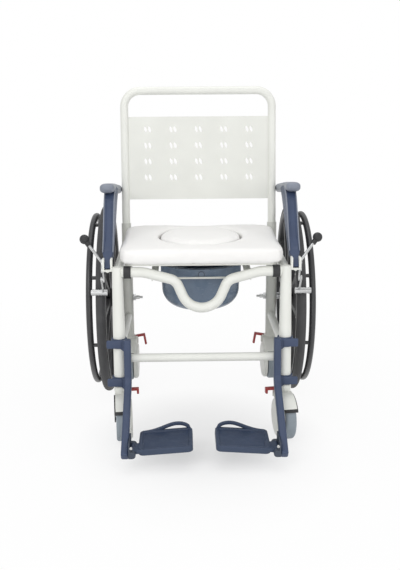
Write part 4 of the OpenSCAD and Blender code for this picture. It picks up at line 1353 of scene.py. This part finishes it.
@dataclass
class FootPlate(SideMaker):
    """One footplate: a sunk tread with a wide rim, a heel loop along its back and a hinge knuckle."""

    hinge: Point = (0.188, -0.4675, 0.049)
    tilt: float = 4.0
    off: float = 0.015
    set_back: float = 0.013
    width: float = 0.143
    length: float = 0.122
    thickness: float = 0.017
    corner: float = 0.014
    edge: float = 0.0024
    rim: float = 0.010
    sink: float = 0.004
    tread_inset: float = 0.004
    tread_rise: float = 0.0006
    heel_rise: float = 0.020
    heel_depth: float = 0.010
    heel_least: float = 0.006
    heel_thickness: float = 0.008
    heel_corner: float = 0.0028
    heel_from_share: float = 0.05
    heel_span_share: float = 0.90
    heel_skew: float = 2.2
    heel_top_share: float = 0.73
    heel_slopes: Pair = (0.85, 0.45)
    gap_from: float = 0.33
    gap_blend: float = 0.10
    ear: float = 0.01335
    knuckle: float = 0.0473
    knuckle_radius: float = 0.00865
    neck_trim: float = 0.001
    neck_round: float = 0.0015
    steps: int = 26

    def build(self) -> list[Piece]:
        """Build the footplate.

        Returns:
            The piece.
        """
        piece = Bench.join(f"foot_tread_{self.side.word}",
                           [self._plate(), self._heel(), self._knuckle(), self._neck()])
        turn = self.seat(self.hinge)
        if self.side is Side.RIGHT:
            turn = turn @ Matrix.Scale(-1.0, 4, (1.0, 0.0, 0.0))
        Bench.place(piece, turn @ Matrix.Rotation(-math.radians(self.tilt), 4, "Y"))
        Bench.smooth(piece)
        self.wardrobe.dress(piece, Finish.TREAD_MOULDING)
        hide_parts(f"footplate_{self.side.word}")
        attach(piece, f"footplate_{self.side.word}_body")
        return [piece]

    def _plate(self) -> Piece:
        """Model the plate with its sunk tread.

        Returns:
            The plate.
        """
        def upright(edge: bpy.types.MeshEdge) -> bool:
            """Tell whether an edge runs up a corner of the plate."""
            first, last = Bench.ends(piece, edge)
            return abs(first.z - last.z) > 1e-4

        half = self.thickness / 2.0
        piece = Bench.block("plate", (self.off, self.set_back, -half),
                            (self.off + self.width, self.set_back + self.length, half))
        Bench.edit(piece, Part.EDGE)
        Bench.choose(piece, Part.EDGE, upright)
        bpy.ops.mesh.bevel(offset=self.corner, segments=8, affect="EDGES")
        bpy.ops.mesh.select_mode(type=Part.FACE.name)
        Bench.choose(piece, Part.FACE, lambda face: face.normal.z > 0.9)
        bpy.ops.mesh.inset(thickness=self.rim)
        bpy.ops.mesh.extrude_region_move(TRANSFORM_OT_translate={"value": (0.0, 0.0, -self.sink)})
        bpy.ops.mesh.inset(thickness=self.tread_inset)
        bpy.ops.transform.translate(value=(0.0, 0.0, self.tread_rise))
        Bench.leave()
        Bench.round_edges(piece, self.edge, 4, 50.0)
        return piece

    def _heel(self) -> Piece:
        """Sweep the heel loop along the plate's back edge.

        Returns:
            The loop.
        """
        line, depths = [], []
        for share in even_shares(self.steps):
            bow = abs(math.sin(math.pi * share**self.heel_skew))
            slope = self.heel_slopes[0 if share < self.heel_top_share else 1]
            top = self.thickness / 2.0 + self.heel_rise * bow**slope
            blend = min(1.0, max(0.0, (share - self.gap_from) / self.gap_blend))
            low = blend * max(0.0, top - self.heel_depth)
            along = self.width * (self.heel_from_share + self.heel_span_share * share)
            line.append(Vector((self.off + along, (top + low) / 2.0)))
            depths.append(max(top - low, self.heel_least))
        stations = stations_along(line, 0.0, self.heel_thickness, depths)
        piece = Bench.sweep("heel", stations, self.heel_corner)
        Bench.place(piece, across_at(self.set_back + self.length - self.heel_thickness / 2.0))
        return piece

    def _knuckle(self) -> Piece:
        """Model the knuckle between the hinge's ears."""
        start, end = (0.0, self.ear, 0.0), (0.0, self.ear + self.knuckle, 0.0)
        return Bench.drum("knuckle", start, end, self.knuckle_radius, 40)

    def _neck(self) -> Piece:
        """Model the neck from the knuckle to the plate.

        Returns:
            The neck.
        """
        half = self.thickness / 2.0 - self.neck_trim
        piece = Bench.block("neck", (0.0, self.ear, -half / 3.0),
                            (self.off + self.corner, self.ear + self.knuckle, half))
        Bench.round_edges(piece, self.neck_round)
        return piece


@dataclass
class SeatTube(Maker):
    """The front seat tube, bent in one sweep: shoulders, knees and the bow of its dip."""

    half: float = 0.2205
    plane_y: float = -0.21489
    height: float = 0.476
    radius: float = 0.014
    corner_share: float = 0.98
    drop: float = 0.103
    turn: float = 67.0
    lean: float = 15.0
    run: float = 0.063
    shoulder: float = 0.100
    knee: float = 0.034
    bow: float = 0.058
    steps: int = 10

    def build(self) -> list[Piece]:
        """Build the tube.

        Returns:
            The piece.
        """
        wide = 2.0 * self.radius
        stations = stations_along(self._line(), 0.0, wide, wide)
        piece = Bench.sweep("seat_tube", stations, self.radius * self.corner_share, 8)
        Bench.place(piece, across_at(self.plane_y))
        Bench.smooth(piece, 50.0)
        self.wardrobe.dress(piece, Finish.WHITE_PAINT)
        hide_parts("front_seat_tube")
        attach(piece, "frame")
        return [piece]

    def _line(self) -> list[Vector]:
        """Return the tube's middle line in X and Z, from left to right.

        Returns:
            The points of the line.
        """
        bend, lean = math.radians(self.turn), math.radians(self.lean)
        low = self.height - self.drop
        right = []

        def arc(centre: Vector, radius: float, first: float, last: float) -> None:
            """Add an arc from one slope to another, seen from its centre.

            Args:
                centre: The arc's centre.
                radius: Its radius.
                first: Its first slope.
                last: Its last slope.
            """
            for share in even_shares(self.steps):
                slope = first + (last - first) * share
                right.append(centre + Vector((-math.sin(slope), math.cos(slope))) * radius)

        for share in even_shares(self.steps):
            slope = bend * share
            right.append(Vector((self.bow * math.sin(slope), low + self.bow * (1.0 - math.cos(slope)))))
        steep = (self.drop - self.bow * (1.0 - math.cos(bend)) - self.knee * (math.cos(lean) - math.cos(bend))
                 - self.run * math.sin(lean) - self.shoulder * (1.0 - math.cos(lean))) / math.sin(bend)
        foot = right[-1] + Vector((math.cos(bend), math.sin(bend))) * steep
        arc(foot + Vector((math.sin(bend), -math.cos(bend))) * self.knee, self.knee, bend, lean)
        end = right[-1] + Vector((math.cos(lean), math.sin(lean))) * self.run
        arc(end + Vector((math.sin(lean), -math.cos(lean))) * self.shoulder, self.shoulder, lean, 0.0)
        right.append(Vector((self.half, self.height)))
        left = [Vector((-point.x, point.y)) for point in reversed(right[1:])]
        return left + right


@dataclass
class SoftEdges(Maker):
    """Rounds the edges of small mouldings on copies of their nodes."""

    bodies: dict[str, str]
    slots: dict[str, str]
    widths: tuple[tuple[str, float], ...] = (
        ("caster_hood", 0.0022), ("caster_pedal", 0.0016), ("caster_yoke", 0.0010), ("seat_clips", 0.0012),
        ("foot_hinge", 0.0018), ("arm_sockets", 0.0010),
    )
    flat: float = 2.0
    sharp: float = 35.0
    crisp: float = 38.0

    def build(self) -> list[Piece]:
        """Round every node that is listed by the start of its name.

        Returns:
            The rounded pieces.
        """
        made = []
        for node in sorted(self.wardrobe.nodes):
            width = next((size for start, size in self.widths if node.startswith(start)), None)
            if width is not None:
                piece = self._soften(node, width)
                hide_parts(node)
                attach(piece, self.bodies[node])
                made.append(piece)
        return made

    def _soften(self, node: str, width: float) -> Piece:
        """Round one node's edges.

        Args:
            node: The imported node.
            width: Width of the rounding.

        Returns:
            The piece.
        """
        piece = Bench.copy_of(self.wardrobe.nodes[node], f"soft_{node}")
        Bench.edit(piece, whole=True)
        bpy.ops.mesh.dissolve_limited(angle_limit=math.radians(self.flat))
        Bench.leave()
        Bench.round_edges(piece, width, 3, self.sharp)
        Bench.smooth(piece, self.crisp)
        self.wardrobe.dress(piece, self.wardrobe.finish_of(node))
        return piece


@dataclass
class SeatUpholstery(Maker):
    """The soft seat and its oval plug, inflated inside the space of their solids."""

    voxel: float = 0.0045
    shrink: float = 0.0010
    pressure: float = 3.0
    tension: float = 40.0
    bending: float = 4.0
    frames: int = 14
    cap: float = 0.003

    def build(self) -> list[Piece]:
        """Build the cushion and the plug."""
        return [self._swell("soft_seat", "seat_cushion", "seat_body"),
                self._swell("soft_plug", "seat_plug", "plug_body")]

    def _swell(self, name: str, node: str, body: str) -> Piece:
        """Inflate a copy of a soft solid.

        Args:
            name: Name of the piece.
            node: The solid that it replaces.
            body: The body that it rides on.

        Returns:
            The padded piece.
        """
        piece = Bench.copy_of(self.wardrobe.nodes[node], name)
        Bench.apply(piece, "REMESH", mode="VOXEL", voxel_size=self.voxel)
        Bench.apply(piece, "SMOOTH", factor=0.5, iterations=3)
        for vertex in piece.data.vertices:
            vertex.co -= vertex.normal * self.shrink
        self._inflate(piece)
        Bench.apply(piece, "SMOOTH", factor=0.4, iterations=2)
        self._settle(piece, node)
        Bench.smooth(piece, 60.0)
        self.wardrobe.dress(piece, Finish.SEAT_SKIN)
        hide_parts(node)
        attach(piece, body)
        return piece

    def _inflate(self, piece: Piece) -> None:
        """Run the cloth under pressure and keep its result, up to a cap on each move.

        Args:
            piece: The piece.
        """
        rest = [vertex.co.copy() for vertex in piece.data.vertices]
        Bench.pick(piece)
        cloth = piece.modifiers.new("cloth", "CLOTH")
        cloth.settings.use_pressure = True
        cloth.settings.uniform_pressure_force = self.pressure
        cloth.settings.effector_weights.gravity = 0.0
        cloth.settings.tension_stiffness = self.tension
        cloth.settings.bending_stiffness = self.bending
        cloth.point_cache.frame_start = 1
        cloth.point_cache.frame_end = self.frames
        scene = bpy.context.scene
        for frame in range(1, self.frames + 1):
            scene.frame_set(frame)
        bpy.ops.object.modifier_apply(modifier=cloth.name)
        scene.frame_set(1)
        for vertex, start in zip(piece.data.vertices, rest):
            move = vertex.co - start
            if move.length > self.cap:
                vertex.co = start + move.normalized() * self.cap

    @staticmethod
    def _settle(piece: Piece, node: str) -> None:
        """Keep the piece's underside flat on what carries it.

        Args:
            piece: The piece.
            node: The solid that it replaces.
        """
        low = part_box(node)[0].z
        for vertex in piece.data.vertices:
            vertex.co.z = max(vertex.co.z, low)


@dataclass
class Studio:
    """The pale floor, the soft light and the camera of the photograph."""

    eye: Point = (-0.044, -2.4325, 1.0161)
    yaw: float = 1.0
    pitch: float = 14.61
    roll: float = -0.37
    focal_px: float = 829.7
    frame_px: float = 570.0
    sensor: float = 36.0
    clip: Pair = (0.05, 100.0)
    room_light: float = 0.62
    floor_size: float = 40.0
    floor_grey: float = 0.86
    # Where and how far the floor's white glow gives way to the diffuse floor: a painted shadow pool round the
    # chair.
    shadow_at: Pair = (0.0, -0.34)
    shadow_narrow: float = 1.5
    shadow_reach: Pair = (0.05, 0.46)
    shadow_shares: Pair = (0.46, 0.92)
    fade_reach: float = 1.8
    fade_share: float = 0.08
    aim: Point = (0.0, 0.0, 0.45)
    # Name, place, size in metres and power in watts.
    boxes: tuple[tuple[str, Point, float, float], ...] = (
        ("key", (-1.6, -2.6, 2.6), 2.0, 32.0),
        ("fill", (2.2, -2.2, 1.8), 2.2, 16.0),
        ("low", (0.0, -2.4, 0.5), 1.4, 7.0),
        ("top", (0.0, 0.4, 3.0), 2.4, 22.0),
    )

    def build(self) -> None:
        """Build the stage."""
        self._world()
        self._floor()
        self._lights()
        self._camera()

    def _world(self) -> None:
        """Light the room evenly, and show it white."""
        world = bpy.data.worlds.new("studio")
        bpy.context.scene.world = world
        g = Graph(world)
        glow, shown = (g.node("ShaderNodeBackground", None, {"Color": WHITE, "Strength": strength})
                       for strength in (self.room_light, 1.0))
        seen = g.node("ShaderNodeLightPath", output="Is Camera Ray")
        mixed = g.node("ShaderNodeMixShader", None, {0: seen, 1: glow, 2: shown})
        g.node("ShaderNodeOutputWorld", None, {"Surface": mixed})

    @staticmethod
    def _seen(g: Graph) -> Value:
        """Return 1 for rays that come from the eye or off a shiny or clear surface."""
        eye = g.node("ShaderNodeLightPath", output="Is Camera Ray")
        return (eye + eye.other("Is Glossy Ray") + eye.other("Is Transmission Ray")).spread(0.0, 1.0)

    def _floor(self) -> None:
        """Lay the floor, white to the eye with a soft shadow."""
        Bench.clear()
        bpy.ops.mesh.primitive_plane_add(size=self.floor_size)
        floor = bpy.context.object
        floor.name = "floor"
        g = Graph(bpy.data.materials.new("floor_white"))
        matt = g.node("ShaderNodeBsdfDiffuse", None, {"Color": shade(WHITE, self.floor_grey)})
        glow = g.node("ShaderNodeEmission", None, {"Color": WHITE, "Strength": 1.0})
        x, y, _ = g.axes()
        # The glow is weaker near the chair, so the floor greys there as a painted shadow pool besides the
        # rendered shadow.
        aside, ahead = x - self.shadow_at[0], y - self.shadow_at[1]
        away = (aside * aside * self.shadow_narrow + ahead * ahead) ** 0.5
        near = away.spread(*self.shadow_reach, *self.shadow_shares)
        far = away.spread(self.shadow_reach[1], self.fade_reach, 0.0, self.fade_share)
        mixed = g.node("ShaderNodeMixShader", None, {0: self._seen(g) * (near + far), 1: matt, 2: glow})
        floor.data.materials.append(g.close(mixed))

    def _lights(self) -> None:
        """Hang the soft boxes."""
        for name, at, size, power in self.boxes:
            light = bpy.data.lights.new(name, "AREA")
            light.energy = power
            light.size = size
            lamp = bpy.data.objects.new(name, light)
            lamp.location = at
            way = Vector(self.aim) - Vector(at)
            lamp.rotation_euler = way.to_track_quat("-Z", "Y").to_euler()
            bpy.context.scene.collection.objects.link(lamp)

    def _camera(self) -> None:
        """Set the camera of the photograph."""
        yaw, pitch, roll = (math.radians(angle) for angle in (self.yaw, self.pitch, self.roll))
        ahead = Vector((math.sin(yaw) * math.cos(pitch), math.cos(yaw) * math.cos(pitch), -math.sin(pitch)))
        right = Vector((math.cos(yaw), -math.sin(yaw), 0.0))
        up = right.cross(ahead)
        right_rolled = right * math.cos(roll) + up * math.sin(roll)
        up_rolled = up * math.cos(roll) - right * math.sin(roll)
        turn = Matrix((right_rolled, up_rolled, -ahead)).transposed()
        data = bpy.data.cameras.new("camera")
        data.sensor_width = self.sensor
        data.lens = self.focal_px / self.frame_px * self.sensor
        data.clip_start, data.clip_end = self.clip
        camera = bpy.data.objects.new("camera", data)
        camera.matrix_world = Matrix.Translation(self.eye) @ turn.to_4x4()
        bpy.context.scene.collection.objects.link(camera)
        bpy.context.scene.camera = camera


def main() -> None:
    """Build the scene."""
    logging.basicConfig(level=logging.INFO, format="%(name)s: %(message)s")
    bpy.ops.object.select_all(action="SELECT")
    bpy.ops.object.delete()
    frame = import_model()
    bpy.context.scene.view_settings.view_transform = "Standard"
    wardrobe = Wardrobe(frame["nodes"])
    wardrobe.dress_all()
    record = frame["record"]
    bodies = {node: body for body, nodes in record["behaviour"]["bodies"].items() for node in nodes}
    slots = {part["node"]: part["material_slot"] for part in record["subparts"]}
    makers: list[Maker] = [SeatUpholstery(wardrobe), SeatTube(wardrobe), SoftEdges(wardrobe, bodies, slots),
                           BossLine(wardrobe)]
    for side in Side:
        makers += [kind(wardrobe, side) for kind in (SwingArm, FootHanger, HingeBolt, FootPlate)]
    for maker in makers:
        for piece in maker.build():
            LOG.info("made %s with %d vertices", piece.name, len(piece.data.vertices))
    Studio().build()


if __name__ == "__main__":
    main()
